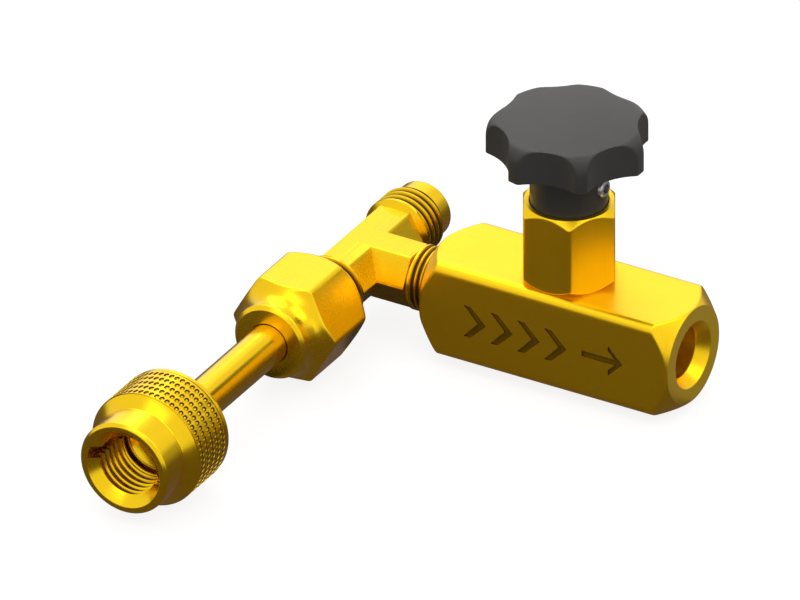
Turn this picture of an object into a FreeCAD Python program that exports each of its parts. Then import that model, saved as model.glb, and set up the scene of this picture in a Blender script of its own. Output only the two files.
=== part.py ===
import FreeCAD, Part
import math
import os

import Sketcher

# Bleed-off valve: a square brass body with a hand-turned needle, a street tee on its inlet,
# and a short flared tube that ends in a knurled swivel coupler.
# Frame: the origin is on the outlet's axis where its thread starts, +X leaves the outlet,
# +Y runs along the tee to its rear male flare end, and +Z points up along the stem.

# Driving dimensions in millimetres: alias, value, what it is
SIZES = [
    ("static_gap", 0.03, "gap between seated pieces that don't move"),
    ("running_gap", 0.08, "radial gap of a turning or sliding fit"),
    ("body_width", 15.9, "square bar across flats"),
    ("body_length", 43.5, "length of the square bar"),
    ("body_edge_radius", 1.4, "rounding of the bar's long edges"),
    ("end_face_inset", 0.12, "flat left between an end face's circle and the bar's sides"),
    ("bonnet_offset", 21.75, "outlet face to the bonnet axis"),
    ("port_mouth_radius", 5.4, "countersunk mouth of the outlet port"),
    ("port_mouth_depth", 2.0, "depth of that countersink"),
    ("port_radius", 4.15, "minor radius of the outlet's 1/8 pipe thread"),
    ("outlet_depth", 10.5, "outlet face to the end of the full bore"),
    ("inlet_depth", 9.5, "inlet face to the end of the full bore"),
    ("drilling_radius", 1.4, "passages between the ports and the seat"),
    ("inlet_drop", 3.0, "inlet passage below the bar's axis"),
    ("outlet_rise", 1.4, "outlet passage above the bar's axis"),
    ("orifice_radius", 1.2, "seat orifice"),
    ("seat_drop", 0.4, "seat edge below the bar's axis"),
    ("chamber_radius", 3.0, "chamber round the needle"),
    ("chamber_rise", 3.0, "chamber roof above the bar's axis"),
    ("gasket_height", 0.8, "bonnet gasket"),
    ("gasket_inner_radius", 3.3, "bonnet gasket hole"),
    ("spigot_radius", 4.76, "bonnet thread, 3/8-24"),
    ("spigot_relief", 0.4, "depth of the relief behind the bonnet thread"),
    ("spigot_relief_height", 0.9, "height of that relief"),
    ("bonnet_flats", 14.0, "bonnet hexagon across flats"),
    ("bonnet_height", 13.1, "height of the bonnet hexagon"),
    ("bonnet_edge_radius", 0.7, "rounding of the hexagon's upright edges"),
    ("bonnet_face_inset", 0.15, "flat left between the face circle and the flats"),
    ("hub_bore_depth", 6.1, "bonnet top to the floor that the hub turns above"),
    ("pocket_radius", 3.5, "packing pocket"),
    ("clip_groove_depth", 0.4, "groove of the gland clip"),
    ("washer_height", 0.6, "packing washer"),
    ("packing_height", 1.4, "one packing ring"),
    ("gland_height", 1.4, "packing gland"),
    ("clip_height", 0.6, "gland clip"),
    ("neck_height", 0.8, "bonnet neck between the stem thread and the packing"),
    ("stem_radius", 2.0, "plain part of the stem"),
    ("stem_thread_radius", 2.5, "stem thread, M5 x 0.8"),
    ("stem_end_rise", 2.84, "seat edge to the stem's lower end when shut"),
    ("stem_travel", 2.0, "lift of the needle from shut to open"),
    ("stem_flat_depth", 0.3, "flat under the set screw"),
    ("tip_radius", 1.8, "needle tip above its cone"),
    ("tip_point_radius", 0.3, "flat end of the cone"),
    ("tip_shank_radius", 0.9, "shank of the tip inside the stem"),
    ("tip_shank_length", 2.2, "length of that shank"),
    ("tip_groove_depth", 0.28, "clip groove in the shank"),
    ("tip_clip_height", 0.35, "wire clip that holds the tip"),
    ("hub_radius", 6.0, "hub of the knob"),
    ("hub_length", 13.7, "hub below the knob's head"),
    ("hub_floor_gap", 0.45, "hub above the bonnet's floor when shut"),
    ("knob_radius", 12.65, "knob over its lobes"),
    ("knob_rim_height", 3.3, "upright rim of the knob"),
    ("knob_shoulder_radius", 2.0, "rounding between the rim and the top"),
    ("knob_crown_height", 0.5, "rise of the domed top"),
    ("knob_hollow_radius", 8.4, "radius of a hollow between two lobes"),
    ("knob_hollow_centre", 18.7, "centre of a hollow from the knob's axis"),
    ("insert_radius", 3.2, "brass insert in the hub"),
    ("insert_length", 11.5, "length of the insert"),
    ("insert_recess", 0.6, "insert above the hub's lower face"),
    ("stem_head_length", 2.5, "stem above the insert"),
    ("screw_radius", 1.5, "set screw, M3"),
    ("screw_height", 9.2, "set screw above the hub's lower face"),
    ("screw_recess", 0.4, "set screw below the hub's surface"),
    ("screw_socket_flats", 1.5, "hexagon socket of the set screw"),
    ("screw_socket_depth", 1.4, "depth of that socket"),
    ("arm_flats", 8.74, "tee arms across flats"),
    ("tee_reach", 14.0, "inlet face to the run axis of the tee"),
    ("run_half_length", 9.1, "run axis to the end of each hexagonal arm"),
    ("branch_hex_length", 9.5, "run axis to the end of the branch hexagon"),
    ("branch_radius", 5.15, "1/8 pipe thread of the branch"),
    ("branch_engagement", 7.0, "branch thread inside the body"),
    ("thread_run_in", 0.65, "cone between a hexagon and its thread"),
    ("thread_end_chamfer", 0.8, "chamfer at the free end of a thread"),
    ("arm_bore_radius", 2.35, "bores of the tee"),
    ("flare_thread_radius", 5.5, "male flare thread, 7/16-20"),
    ("flare_thread_end", 15.4, "run axis to the end of that thread"),
    ("nose_radius", 4.7, "plain nose ahead of the flare thread"),
    ("nose_length", 2.6, "length of the plain nose"),
    ("flare_land_radius", 2.7, "small end of the 45 degree cone"),
    ("tube_radius", 3.2, "1/4 inch tube"),
    ("tube_bore_radius", 2.4, "tube bore"),
    ("flare_wall", 0.65, "wall of the flared ends"),
    ("flare_mouth_radius", 4.2, "inner edge of a flare's rim"),
    ("tube_front", 64.0, "run axis to the front rim of the tube"),
    ("nut_flats", 15.8, "flare nut across flats"),
    ("nut_back", 14.0, "run axis to the back face of the nut"),
    ("nut_length", 15.2, "length of the flare nut"),
    ("nut_edge_radius", 0.95, "rounding of the nut's long edges"),
    ("nut_face_inset", 0.05, "flat left between the back face circle and the flats"),
    ("nut_collar_radius", 6.2, "round collar at the front of the nut"),
    ("nut_collar_length", 1.0, "length of that collar"),
    ("nut_collar_chamfer", 0.6, "chamfer of its face"),
    ("nut_bell_radius", 4.15, "hollow curve between the collar and the hexagon"),
    ("nut_hole_gap", 0.1, "gap between the nut and the tube"),
    ("coupler_length", 16.3, "length of the swivel coupler"),
    ("coupler_rim_ahead", 9.3, "coupler mouth ahead of the tube's front rim"),
    ("coupler_nose_radius", 7.5, "smooth front part of the coupler"),
    ("coupler_nose_length", 5.45, "length of that part"),
    ("coupler_rim_chamfer", 0.25, "chamfer of the mouth"),
    ("grip_radius", 9.45, "knurled grip"),
    ("grip_edge", 0.3, "chamfer at the back of the grip"),
    ("band_radius", 9.3, "smooth band behind the knurl"),
    ("band_length", 1.0, "length of that band"),
    ("coupler_thread_radius", 4.91, "minor radius of the 7/16-20 female thread"),
    ("coupler_mouth_radius", 6.56, "countersunk mouth of the coupler"),
    ("coupler_thread_depth", 8.8, "mouth to the end of the thread"),
    ("coupler_chamber_radius", 5.7, "chamber round the swivel sleeve"),
    ("vent_width", 1.9, "width of the two vent slots"),
    ("vent_depth", 0.75, "depth of a vent slot beyond the thread's minor radius"),
    ("sleeve_radius", 4.8, "flange of the swivel sleeve"),
    ("sleeve_tail_radius", 3.95, "tail of the sleeve inside the coupler"),
    ("sleeve_tail_inset", 1.0, "tail end inside the coupler's back face"),
    ("sleeve_flange_length", 3.2, "sleeve's shoulder to its outer front edge"),
    ("depressor_head_radius", 3.3, "head of the core depressor"),
    ("depressor_tail_length", 1.6, "tail of the depressor in the tube"),
    ("depressor_bore_radius", 1.7, "bore of the depressor"),
    ("depressor_web", 0.8, "web that carries the pin"),
    ("depressor_pin_radius", 0.45, "pin of the depressor"),
    ("depressor_pin_reach", 0.3, "pin ahead of the tube's front rim"),
    ("depressor_hole_radius", 0.4, "three flow holes in the web"),
]

KNOB_LOBES = 7
FLOW_HOLES = 3
VENT_ANGLE = math.radians(-11)
DRILL_POINT = math.tan(math.radians(31))
CONE_SLOPE = math.tan(math.radians(30))
DIAGONAL = math.sqrt(2)
FLATS_TO_CORNER = 1 / math.sqrt(3)

doc = FreeCAD.newDocument("bleed_off_valve")
sheet = doc.addObject("Spreadsheet::Sheet", "Dims")
for row, (alias, value, meaning) in enumerate(SIZES, start=1):
    sheet.set(f"A{row}", alias)
    sheet.set(f"B{row}", str(value))
    sheet.setAlias(f"B{row}", alias)
    sheet.set(f"C{row}", meaning)
doc.recompute()


class Size:
    """A length that knows its number and the sheet expression that gives it."""

    def __init__(self, value, text):
        self.value = value
        self.text = text

    def __add__(self, other):
        other = size(other)
        return Size(self.value + other.value, f"({self.text} + {other.text})")

    def __sub__(self, other):
        other = size(other)
        return Size(self.value - other.value, f"({self.text} - {other.text})")

    def __mul__(self, other):
        other = size(other)
        return Size(self.value * other.value, f"({self.text} * {other.text})")

    def __truediv__(self, other):
        other = size(other)
        return Size(self.value / other.value, f"({self.text} / {other.text})")

    def __radd__(self, other):
        return size(other) + self

    def __rsub__(self, other):
        return size(other) - self

    def __rmul__(self, other):
        return size(other) * self

    def __neg__(self):
        return size(0) - self


def size(value):
    """A plain number as a Size; a Size stays as it is."""
    return value if isinstance(value, Size) else Size(float(value), f"{float(value):.6f}")


class Dims:
    """The driving dimensions by name."""


dims = Dims()
for alias, value, meaning in SIZES:
    setattr(dims, alias, Size(float(value), f"Dims.{alias}"))

# Stations along the bar: its outlet thread starts at the origin
outlet_face = dims.port_mouth_depth
inlet_face = outlet_face - dims.body_length
bonnet_x = outlet_face - dims.bonnet_offset
run_axis_x = inlet_face - dims.tee_reach

# Heights above the bar's axis that several pieces share
body_top = dims.body_width / 2
bonnet_top = body_top + dims.bonnet_height
hub_floor = bonnet_top - dims.hub_bore_depth
clip_top = hub_floor - dims.static_gap
clip_bottom = clip_top - dims.clip_height
gland_bottom = clip_bottom - dims.static_gap - dims.gland_height
upper_packing_bottom = gland_bottom - dims.static_gap - dims.packing_height
lower_packing_bottom = upper_packing_bottom - dims.static_gap - dims.packing_height
washer_bottom = lower_packing_bottom - dims.static_gap - dims.washer_height
pocket_floor = washer_bottom - dims.static_gap
neck_bottom = pocket_floor - dims.neck_height
stem_thread_top = neck_bottom - dims.stem_travel - dims.static_gap
seat_level = -dims.seat_drop
stem_bottom = seat_level + dims.stem_end_rise
gasket_bottom = dims.chamber_rise + dims.static_gap
spigot_bottom = gasket_bottom + dims.gasket_height + dims.static_gap
hub_bottom = hub_floor + dims.hub_floor_gap
head_bottom = hub_bottom + dims.hub_length
insert_bottom = hub_bottom + dims.insert_recess
insert_top = insert_bottom + dims.insert_length
stem_top = insert_top + dims.stem_head_length
screw_level = hub_bottom + dims.screw_height

# The needle tip hangs under the stem by its shank
tip_top = stem_bottom - dims.running_gap
shank_top = tip_top + dims.tip_shank_length
tip_clip_middle = tip_top + dims.tip_shank_length * 0.7
tip_groove_bottom = tip_clip_middle - dims.tip_clip_height / 2 - dims.static_gap
tip_groove_top = tip_clip_middle + dims.tip_clip_height / 2 + dims.static_gap
tip_bore_radius = dims.tip_shank_radius + dims.running_gap
tip_clip_radius = tip_bore_radius + dims.tip_groove_depth - dims.running_gap
tip_clip_groove_radius = tip_clip_radius + dims.running_gap

# Distances ahead of the tee's run axis, towards the coupler
nose_front = dims.flare_thread_end + dims.nose_length
cone_front = nose_front + dims.nose_radius - dims.flare_land_radius
tube_back = nose_front + dims.nose_radius - dims.flare_mouth_radius + dims.static_gap * DIAGONAL
flare_offset = dims.flare_wall * DIAGONAL
rim_radius = dims.flare_mouth_radius + flare_offset / 2
nut_front = dims.nut_back + dims.nut_length
coupler_front = dims.tube_front + dims.coupler_rim_ahead
coupler_back = coupler_front - dims.coupler_length
band_front = coupler_back + dims.band_length
thread_back = coupler_front - dims.coupler_thread_depth

# A flare's back is the cone radius = distance + back_offset at the tube's front
front_flare_back = dims.flare_mouth_radius + flare_offset - dims.tube_front
sleeve_bore_radius = dims.tube_radius + dims.running_gap
sleeve_cone = front_flare_back + dims.running_gap * DIAGONAL
sleeve_front = dims.sleeve_radius - sleeve_cone
sleeve_shoulder = sleeve_front - dims.sleeve_flange_length
coupler_shoulder = sleeve_shoulder - dims.running_gap
tail_end = coupler_back + dims.sleeve_tail_inset

UPRIGHT = FreeCAD.Rotation()
FORWARD = FreeCAD.Rotation(FreeCAD.Vector(1, 0, 0), 90)
OUTWARD = FreeCAD.Rotation(FreeCAD.Vector(0, 1, 0), 90)


def new_body(name, place=(0, 0, 0), rotation=UPRIGHT):
    """A body whose own frame stands at place, turned by rotation."""
    body = doc.addObject("PartDesign::Body", name)
    body.Label = name
    body.Placement = FreeCAD.Placement(FreeCAD.Vector(*(size(part).value for part in place)), rotation)
    for axis, part in zip("xyz", place):
        body.setExpression(f"Placement.Base.{axis}", size(part).text)
    return body


def new_sketch(body, name, role, offset=(0, 0, 0)):
    """A sketch on one of the body's origin planes, shifted by offset in the plane's own axes."""
    sketch = body.newObject("Sketcher::SketchObject", name)
    plane = [feature for feature in body.Origin.OriginFeatures if feature.Role == role][0]
    sketch.AttachmentSupport = [(plane, "")]
    sketch.MapMode = "FlatFace"
    for axis, part in zip("xyz", offset):
        sketch.setExpression(f"AttachmentOffset.Base.{axis}", size(part).text)
    return sketch


def fix_point(sketch, geometry, vertex, spot):
    """Tie one vertex to its coordinates."""
    for axis, kind, line in ((0, "DistanceX", -2), (1, "DistanceY", -1)):
        if abs(spot[axis].value) < 1e-9:
            sketch.addConstraint(Sketcher.Constraint("PointOnObject", geometry, vertex, line))
        else:
            tie = sketch.addConstraint(Sketcher.Constraint(kind, geometry, vertex, spot[axis].value))
            sketch.setExpression(f"Constraints[{tie}]", spot[axis].text)


def add_loop(sketch, corners):
    """A closed loop through the corners.

    A corner with a third value is reached along an arc of that radius, which bulges to the
    left of the way from the corner before; a negative radius bulges to the right.
    """
    spots = [(size(corner[0]), size(corner[1])) for corner in corners]
    segments = []
    for index, corner in enumerate(corners):
        start = FreeCAD.Vector(spots[index - 1][0].value, spots[index - 1][1].value, 0)
        end = FreeCAD.Vector(spots[index][0].value, spots[index][1].value, 0)
        if len(corner) == 2:
            geometry = sketch.addGeometry(Part.LineSegment(start, end))
            segments.append((geometry, 1, 2))
            continue
        radius = size(corner[2])
        chord = end - start
        left = FreeCAD.Vector(-chord.y, chord.x, 0).normalize()
        rise = math.sqrt(radius.value ** 2 - (chord.Length / 2) ** 2)
        bulge = 1 if radius.value > 0 else -1
        centre = (start + end) / 2 - left * rise * bulge
        first, last = (end, start) if bulge > 0 else (start, end)
        begin = math.atan2(first.y - centre.y, first.x - centre.x)
        finish = math.atan2(last.y - centre.y, last.x - centre.x)
        if finish < begin:
            finish += 2 * math.pi
        circle = Part.Circle(centre, FreeCAD.Vector(0, 0, 1), abs(radius.value))
        geometry = sketch.addGeometry(Part.ArcOfCircle(circle, begin, finish))
        segments.append((geometry, 2, 1) if bulge > 0 else (geometry, 1, 2))
        tie = sketch.addConstraint(Sketcher.Constraint("Radius", geometry, abs(radius.value)))
        sketch.setExpression(f"Constraints[{tie}]", (radius * bulge).text)
    for index, (geometry, start_vertex, end_vertex) in enumerate(segments):
        after, after_start, after_end = segments[(index + 1) % len(segments)]
        sketch.addConstraint(Sketcher.Constraint("Coincident", geometry, end_vertex, after, after_start))
        fix_point(sketch, geometry, end_vertex, spots[index])


def add_circle(sketch, radius, centre=(0, 0)):
    """A circle with its radius and centre tied to the sheet."""
    spot = (size(centre[0]), size(centre[1]))
    middle = FreeCAD.Vector(spot[0].value, spot[1].value, 0)
    circle = Part.Circle(middle, FreeCAD.Vector(0, 0, 1), size(radius).value)
    geometry = sketch.addGeometry(circle)
    tie = sketch.addConstraint(Sketcher.Constraint("Radius", geometry, size(radius).value))
    sketch.setExpression(f"Constraints[{tie}]", size(radius).text)
    fix_point(sketch, geometry, 3, spot)


def add_hexagon(sketch, flats):
    """A regular hexagon with a corner on the sketch's x axis."""
    corner = size(flats) * FLATS_TO_CORNER
    turns = [math.radians(60 * step) for step in range(6)]
    add_loop(sketch, [(corner * math.cos(turn), corner * math.sin(turn)) for turn in turns])


def spin(body, kind, name, role, loops, axis="V_Axis", offset=(0, 0, 0)):
    """Turn loops through a full circle, as a Revolution that adds or a Groove that cuts."""
    sketch = new_sketch(body, name + "_outline", role, offset)
    for loop in loops:
        add_loop(sketch, loop)
    feature = body.newObject("PartDesign::" + kind, name)
    feature.Profile = sketch
    feature.ReferenceAxis = (sketch, [axis])
    feature.Angle = 360
    doc.recompute()
    return feature


def revolve(body, name, loop, role="XZ_Plane", axis="V_Axis", offset=(0, 0, 0)):
    """Add the solid that a loop sweeps round the axis."""
    return spin(body, "Revolution", name, role, [loop], axis, offset)


def groove(body, name, loops, role="XZ_Plane", axis="V_Axis", offset=(0, 0, 0)):
    """Cut what the loops sweep round the axis."""
    return spin(body, "Groove", name, role, loops, axis, offset)


def extrude(body, kind, name, sketch, length, reverse=False, both_ways=False):
    """A Pad along the sketch's normal or a Pocket against it."""
    feature = body.newObject("PartDesign::" + kind, name)
    feature.Profile = sketch
    feature.setExpression("Length", size(length).text)
    feature.Reversed = reverse
    if both_ways:
        feature.SideType = "Symmetric"
    doc.recompute()
    return feature


def round_long_edges(body, name, feature, direction, length, radius):
    """Round the straight edges that run along direction for the given length."""
    names = []
    for index, edge in enumerate(feature.Shape.Edges, start=1):
        way = edge.Vertexes[-1].Point - edge.Vertexes[0].Point
        if abs(abs(way.dot(direction)) - length.value) < 1e-4:
            names.append(f"Edge{index}")
    fillet = body.newObject("PartDesign::Fillet", name)
    fillet.Base = (feature, names)
    fillet.setExpression("Radius", size(radius).text)
    doc.recompute()
    return fillet


def ring(name, inner, outer, bottom, height, chamfer=0):
    """A plain ring on the bonnet axis, with its outer edges broken by chamfer."""
    body = new_body(name, (bonnet_x, 0, 0))
    top = bottom + height
    corners = [(inner, bottom), (outer, bottom), (outer, top), (inner, top)]
    if chamfer:
        corners = [(inner, bottom), (outer - chamfer, bottom), (outer, bottom + chamfer),
                   (outer, top - chamfer), (outer - chamfer, top), (inner, top)]
    revolve(body, name + "_ring", corners)
    return body


# Valve body: a square bar with turned ends, a port in each end and the seat in the middle

def valve_body():
    body = new_body("valve_body")
    square = new_sketch(body, "bar_section", "YZ_Plane", (0, 0, outlet_face))
    half = dims.body_width / 2
    add_loop(square, [(-half, -half), (half, -half), (half, half), (-half, half)])
    bar = extrude(body, "Pad", "bar", square, dims.body_length, reverse=True)
    round_long_edges(body, "bar_edges", bar, FreeCAD.Vector(1, 0, 0), dims.body_length,
                     dims.body_edge_radius)
    face = half - dims.end_face_inset
    outside = dims.body_width * 0.75
    groove(body, "turned_ends", [
        [(outlet_face, face), (outlet_face, outside), (outlet_face + face - outside, outside)],
        [(inlet_face, face), (inlet_face - face + outside, outside), (inlet_face, outside)],
    ], role="XY_Plane", axis="H_Axis")
    outlet = dims.port_radius
    outlet_end = outlet_face - dims.outlet_depth
    inlet = dims.branch_radius + dims.static_gap
    inlet_end = inlet_face + dims.inlet_depth
    groove(body, "ports", [
        [(outlet_face, 0), (outlet_face, dims.port_mouth_radius), (0, outlet), (outlet_end, outlet),
         (outlet_end - outlet * DRILL_POINT, 0)],
        [(inlet_face, 0), (inlet_face, inlet), (inlet_end, inlet),
         (inlet_end + inlet * DRILL_POINT, 0)],
    ], role="XY_Plane", axis="H_Axis")
    bottom = -dims.inlet_drop
    bore = dims.spigot_radius + dims.static_gap
    groove(body, "seat_and_bonnet_bore", [
        [(0, bottom), (dims.orifice_radius, bottom), (dims.orifice_radius, seat_level),
         (dims.chamber_radius, seat_level), (dims.chamber_radius, dims.chamber_rise),
         (bore, dims.chamber_rise), (bore, body_top), (0, body_top)],
    ], offset=(bonnet_x, 0, 0))
    drillings = (("inlet_passage", -dims.inlet_drop, bonnet_x + dims.orifice_radius, inlet_end),
                 ("outlet_passage", dims.outlet_rise, outlet_end, bonnet_x))
    for name, height, start, stop in drillings:
        section = new_sketch(body, name + "_section", "YZ_Plane", (0, 0, start))
        add_circle(section, dims.drilling_radius, (0, height))
        extrude(body, "Pocket", name, section, start - stop)
    return body


# Bonnet: a hexagon with a threaded spigot, the stem thread, the packing pocket and the hub bore

def bonnet():
    body = new_body("bonnet", (bonnet_x, 0, 0))
    section = new_sketch(body, "bonnet_section", "XY_Plane", (0, 0, body_top))
    add_hexagon(section, dims.bonnet_flats)
    prism = extrude(body, "Pad", "bonnet_hexagon", section, dims.bonnet_height)
    round_long_edges(body, "bonnet_edges", prism, FreeCAD.Vector(0, 0, 1), dims.bonnet_height,
                     dims.bonnet_edge_radius)
    face = dims.bonnet_flats / 2 - dims.bonnet_face_inset
    outside = dims.bonnet_flats * 0.65
    groove(body, "bonnet_chamfers", [
        [(face, bonnet_top), (outside, bonnet_top), (outside, bonnet_top - outside + face)],
        [(face, body_top), (outside, body_top + outside - face), (outside, body_top)],
    ])
    relief = dims.spigot_radius - dims.spigot_relief
    relief_bottom = body_top - dims.spigot_relief_height
    revolve(body, "spigot", [
        (0, spigot_bottom), (dims.spigot_radius - dims.spigot_relief, spigot_bottom),
        (dims.spigot_radius, spigot_bottom + dims.spigot_relief), (dims.spigot_radius, relief_bottom),
        (relief, relief_bottom), (relief, body_top), (0, body_top)])
    thread = dims.stem_thread_radius + dims.running_gap
    neck = dims.stem_radius + dims.running_gap
    catch = dims.pocket_radius + dims.clip_groove_depth
    hub_bore = dims.hub_radius + dims.running_gap
    groove(body, "bonnet_bores", [[
        (0, spigot_bottom), (thread, spigot_bottom), (thread, neck_bottom), (neck, neck_bottom),
        (neck, pocket_floor), (dims.pocket_radius, pocket_floor),
        (dims.pocket_radius, clip_bottom - dims.static_gap), (catch, clip_bottom - dims.static_gap),
        (catch, hub_floor), (hub_bore, hub_floor), (hub_bore, bonnet_top), (0, bonnet_top)]])
    return body


def bonnet_gasket():
    return ring("bonnet_gasket", dims.gasket_inner_radius, dims.spigot_radius - dims.static_gap,
                gasket_bottom, dims.gasket_height, 0.15)


# Packing: a washer, two rings, a gland and the clip that keeps them in the pocket

def packing():
    inner = dims.stem_radius + dims.running_gap
    outer = dims.pocket_radius - dims.static_gap
    ring("packing_washer", inner, outer, washer_bottom, dims.washer_height)
    ring("packing_ring_lower", inner, outer, lower_packing_bottom, dims.packing_height, 0.2)
    ring("packing_ring_upper", inner, outer, upper_packing_bottom, dims.packing_height, 0.2)
    ring("packing_gland", inner, outer, gland_bottom, dims.gland_height, 0.25)


def gland_clip():
    outer = dims.pocket_radius + dims.clip_groove_depth - dims.static_gap
    inner = dims.stem_radius + dims.clip_groove_depth * 2
    body = ring("gland_clip", inner, outer, clip_bottom, dims.clip_height)
    gap = new_sketch(body, "gland_clip_gap", "XY_Plane", (0, 0, clip_top))
    half = dims.clip_groove_depth * 2
    add_loop(gap, [(0, -half), (outer + half, -half), (outer + half, half), (0, half)])
    extrude(body, "Pocket", "gland_clip_opening", gap, dims.clip_height)
    return body


# Needle tip: a steel cone that the stem pushes onto the seat without turning it

def needle_tip():
    body = new_body("needle_tip", (bonnet_x, 0, 0))
    contact = dims.orifice_radius - dims.static_gap
    point = seat_level - (contact - dims.tip_point_radius) / CONE_SLOPE
    cone_top = seat_level + (dims.tip_radius - contact) / CONE_SLOPE
    shank = dims.tip_shank_radius
    root = shank - dims.tip_groove_depth
    revolve(body, "tip_turning", [
        (0, point), (dims.tip_point_radius, point), (dims.tip_radius, cone_top),
        (dims.tip_radius, tip_top), (shank, tip_top), (shank, tip_groove_bottom),
        (root, tip_groove_bottom), (root, tip_groove_top), (shank, tip_groove_top),
        (shank, shank_top), (0, shank_top)])
    return body


def tip_clip():
    inner = dims.tip_shank_radius - dims.tip_groove_depth + dims.static_gap
    body = ring("tip_clip", inner, tip_clip_radius, tip_clip_middle - dims.tip_clip_height / 2,
                dims.tip_clip_height)
    top = tip_clip_middle + dims.tip_clip_height / 2
    gap = new_sketch(body, "tip_clip_gap", "XY_Plane", (0, 0, top))
    half = inner / 2
    reach = tip_clip_radius + half
    add_loop(gap, [(0, -half), (reach, -half), (reach, half), (0, half)])
    extrude(body, "Pocket", "tip_clip_opening", gap, dims.tip_clip_height)
    return body


# Stem: threaded below, plain through the packing, with a flat for the set screw

def stem():
    body = new_body("stem", (bonnet_x, 0, 0))
    thread = dims.stem_thread_radius
    lead = dims.stem_thread_radius - dims.stem_radius
    plain = dims.stem_radius
    revolve(body, "stem_turning", [
        (0, stem_bottom), (thread - lead, stem_bottom), (thread, stem_bottom + lead),
        (thread, stem_thread_top), (plain, stem_thread_top), (plain, stem_top - dims.stem_flat_depth),
        (plain - dims.stem_flat_depth, stem_top), (0, stem_top)])
    bore = tip_bore_radius
    catch = tip_clip_groove_radius
    bore_top = shank_top + dims.running_gap
    groove(body, "tip_socket", [[
        (0, stem_bottom), (bore, stem_bottom), (bore, tip_groove_bottom), (catch, tip_groove_bottom),
        (catch, tip_groove_top), (bore, tip_groove_top), (bore, bore_top),
        (0, bore_top + bore * DRILL_POINT)]])
    flat = new_sketch(body, "screw_flat_section", "XY_Plane", (0, 0, stem_top))
    inner = plain - dims.stem_flat_depth
    outer = plain * 1.5
    add_loop(flat, [(inner, -plain), (outer, -plain), (outer, plain), (inner, plain)])
    extrude(body, "Pocket", "screw_flat", flat, stem_top - screw_level + dims.screw_radius)
    return body


# Knob: a seven-lobed head on a long hub that turns inside the bonnet

def knob():
    body = new_body("knob", (bonnet_x, 0, 0))
    rim_top = head_bottom + dims.knob_rim_height
    shoulder = dims.knob_shoulder_radius
    edge = dims.knob_radius - shoulder
    crown_bottom = rim_top + shoulder
    crown = dims.knob_crown_height
    crown_radius = (edge * edge + crown * crown) / (2 * crown)
    bore = dims.insert_radius
    revolve(body, "knob_turning", [
        (0, hub_bottom), (dims.hub_radius, hub_bottom), (dims.hub_radius, head_bottom),
        (dims.knob_radius, head_bottom), (dims.knob_radius, rim_top),
        (edge, crown_bottom, -shoulder), (0, crown_bottom + crown, -crown_radius)])
    hollow = new_sketch(body, "knob_hollow_section", "XY_Plane", (0, 0, head_bottom))
    turn = math.pi / KNOB_LOBES
    reach = dims.knob_hollow_centre
    add_circle(hollow, dims.knob_hollow_radius, (reach * math.cos(turn), reach * math.sin(turn)))
    cut = extrude(body, "Pocket", "knob_hollow", hollow, crown_bottom + crown - head_bottom, reverse=True)
    lobes = body.newObject("PartDesign::PolarPattern", "knob_hollows")
    lobes.Originals = [cut]
    lobes.Axis = (hollow, ["N_Axis"])
    lobes.Angle = 360
    lobes.Occurrences = KNOB_LOBES
    body.Tip = lobes
    doc.recompute()
    stem_bore = dims.stem_radius + dims.static_gap
    bore_top = insert_top + dims.static_gap
    groove(body, "knob_bore", [[
        (0, hub_bottom), (bore, hub_bottom), (bore, bore_top), (stem_bore, bore_top),
        (stem_bore, stem_top + dims.static_gap), (0, stem_top + dims.static_gap)]])
    hole = new_sketch(body, "knob_screw_hole_section", "YZ_Plane")
    add_circle(hole, dims.screw_radius + dims.static_gap, (0, screw_level))
    extrude(body, "Pocket", "knob_screw_hole", hole, dims.hub_radius * 1.05, reverse=True)
    return body


def knob_insert():
    body = ring("knob_insert", dims.stem_radius + dims.static_gap, dims.insert_radius - dims.static_gap,
                insert_bottom, dims.insert_length, 0.3)
    hole = new_sketch(body, "insert_screw_hole_section", "YZ_Plane")
    add_circle(hole, dims.screw_radius + dims.static_gap, (0, screw_level))
    extrude(body, "Pocket", "insert_screw_hole", hole, dims.hub_radius, reverse=True)
    return body


def set_screw():
    body = new_body("set_screw", (bonnet_x, 0, screw_level), OUTWARD)
    radius = dims.screw_radius
    point = dims.stem_radius - dims.stem_flat_depth + dims.static_gap
    head = dims.hub_radius - dims.screw_recess
    lead = dims.screw_radius / 4
    revolve(body, "screw_turning", [
        (0, point), (radius - lead, point), (radius, point + lead), (radius, head - lead / 2),
        (radius - lead / 2, head), (0, head)])
    socket = new_sketch(body, "screw_socket_section", "XY_Plane", (0, 0, head))
    add_hexagon(socket, dims.screw_socket_flats)
    extrude(body, "Pocket", "screw_socket", socket, dims.screw_socket_depth)
    return body


# Street tee: hexagonal arms, a male flare at each end of the run and a pipe thread on the branch

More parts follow.
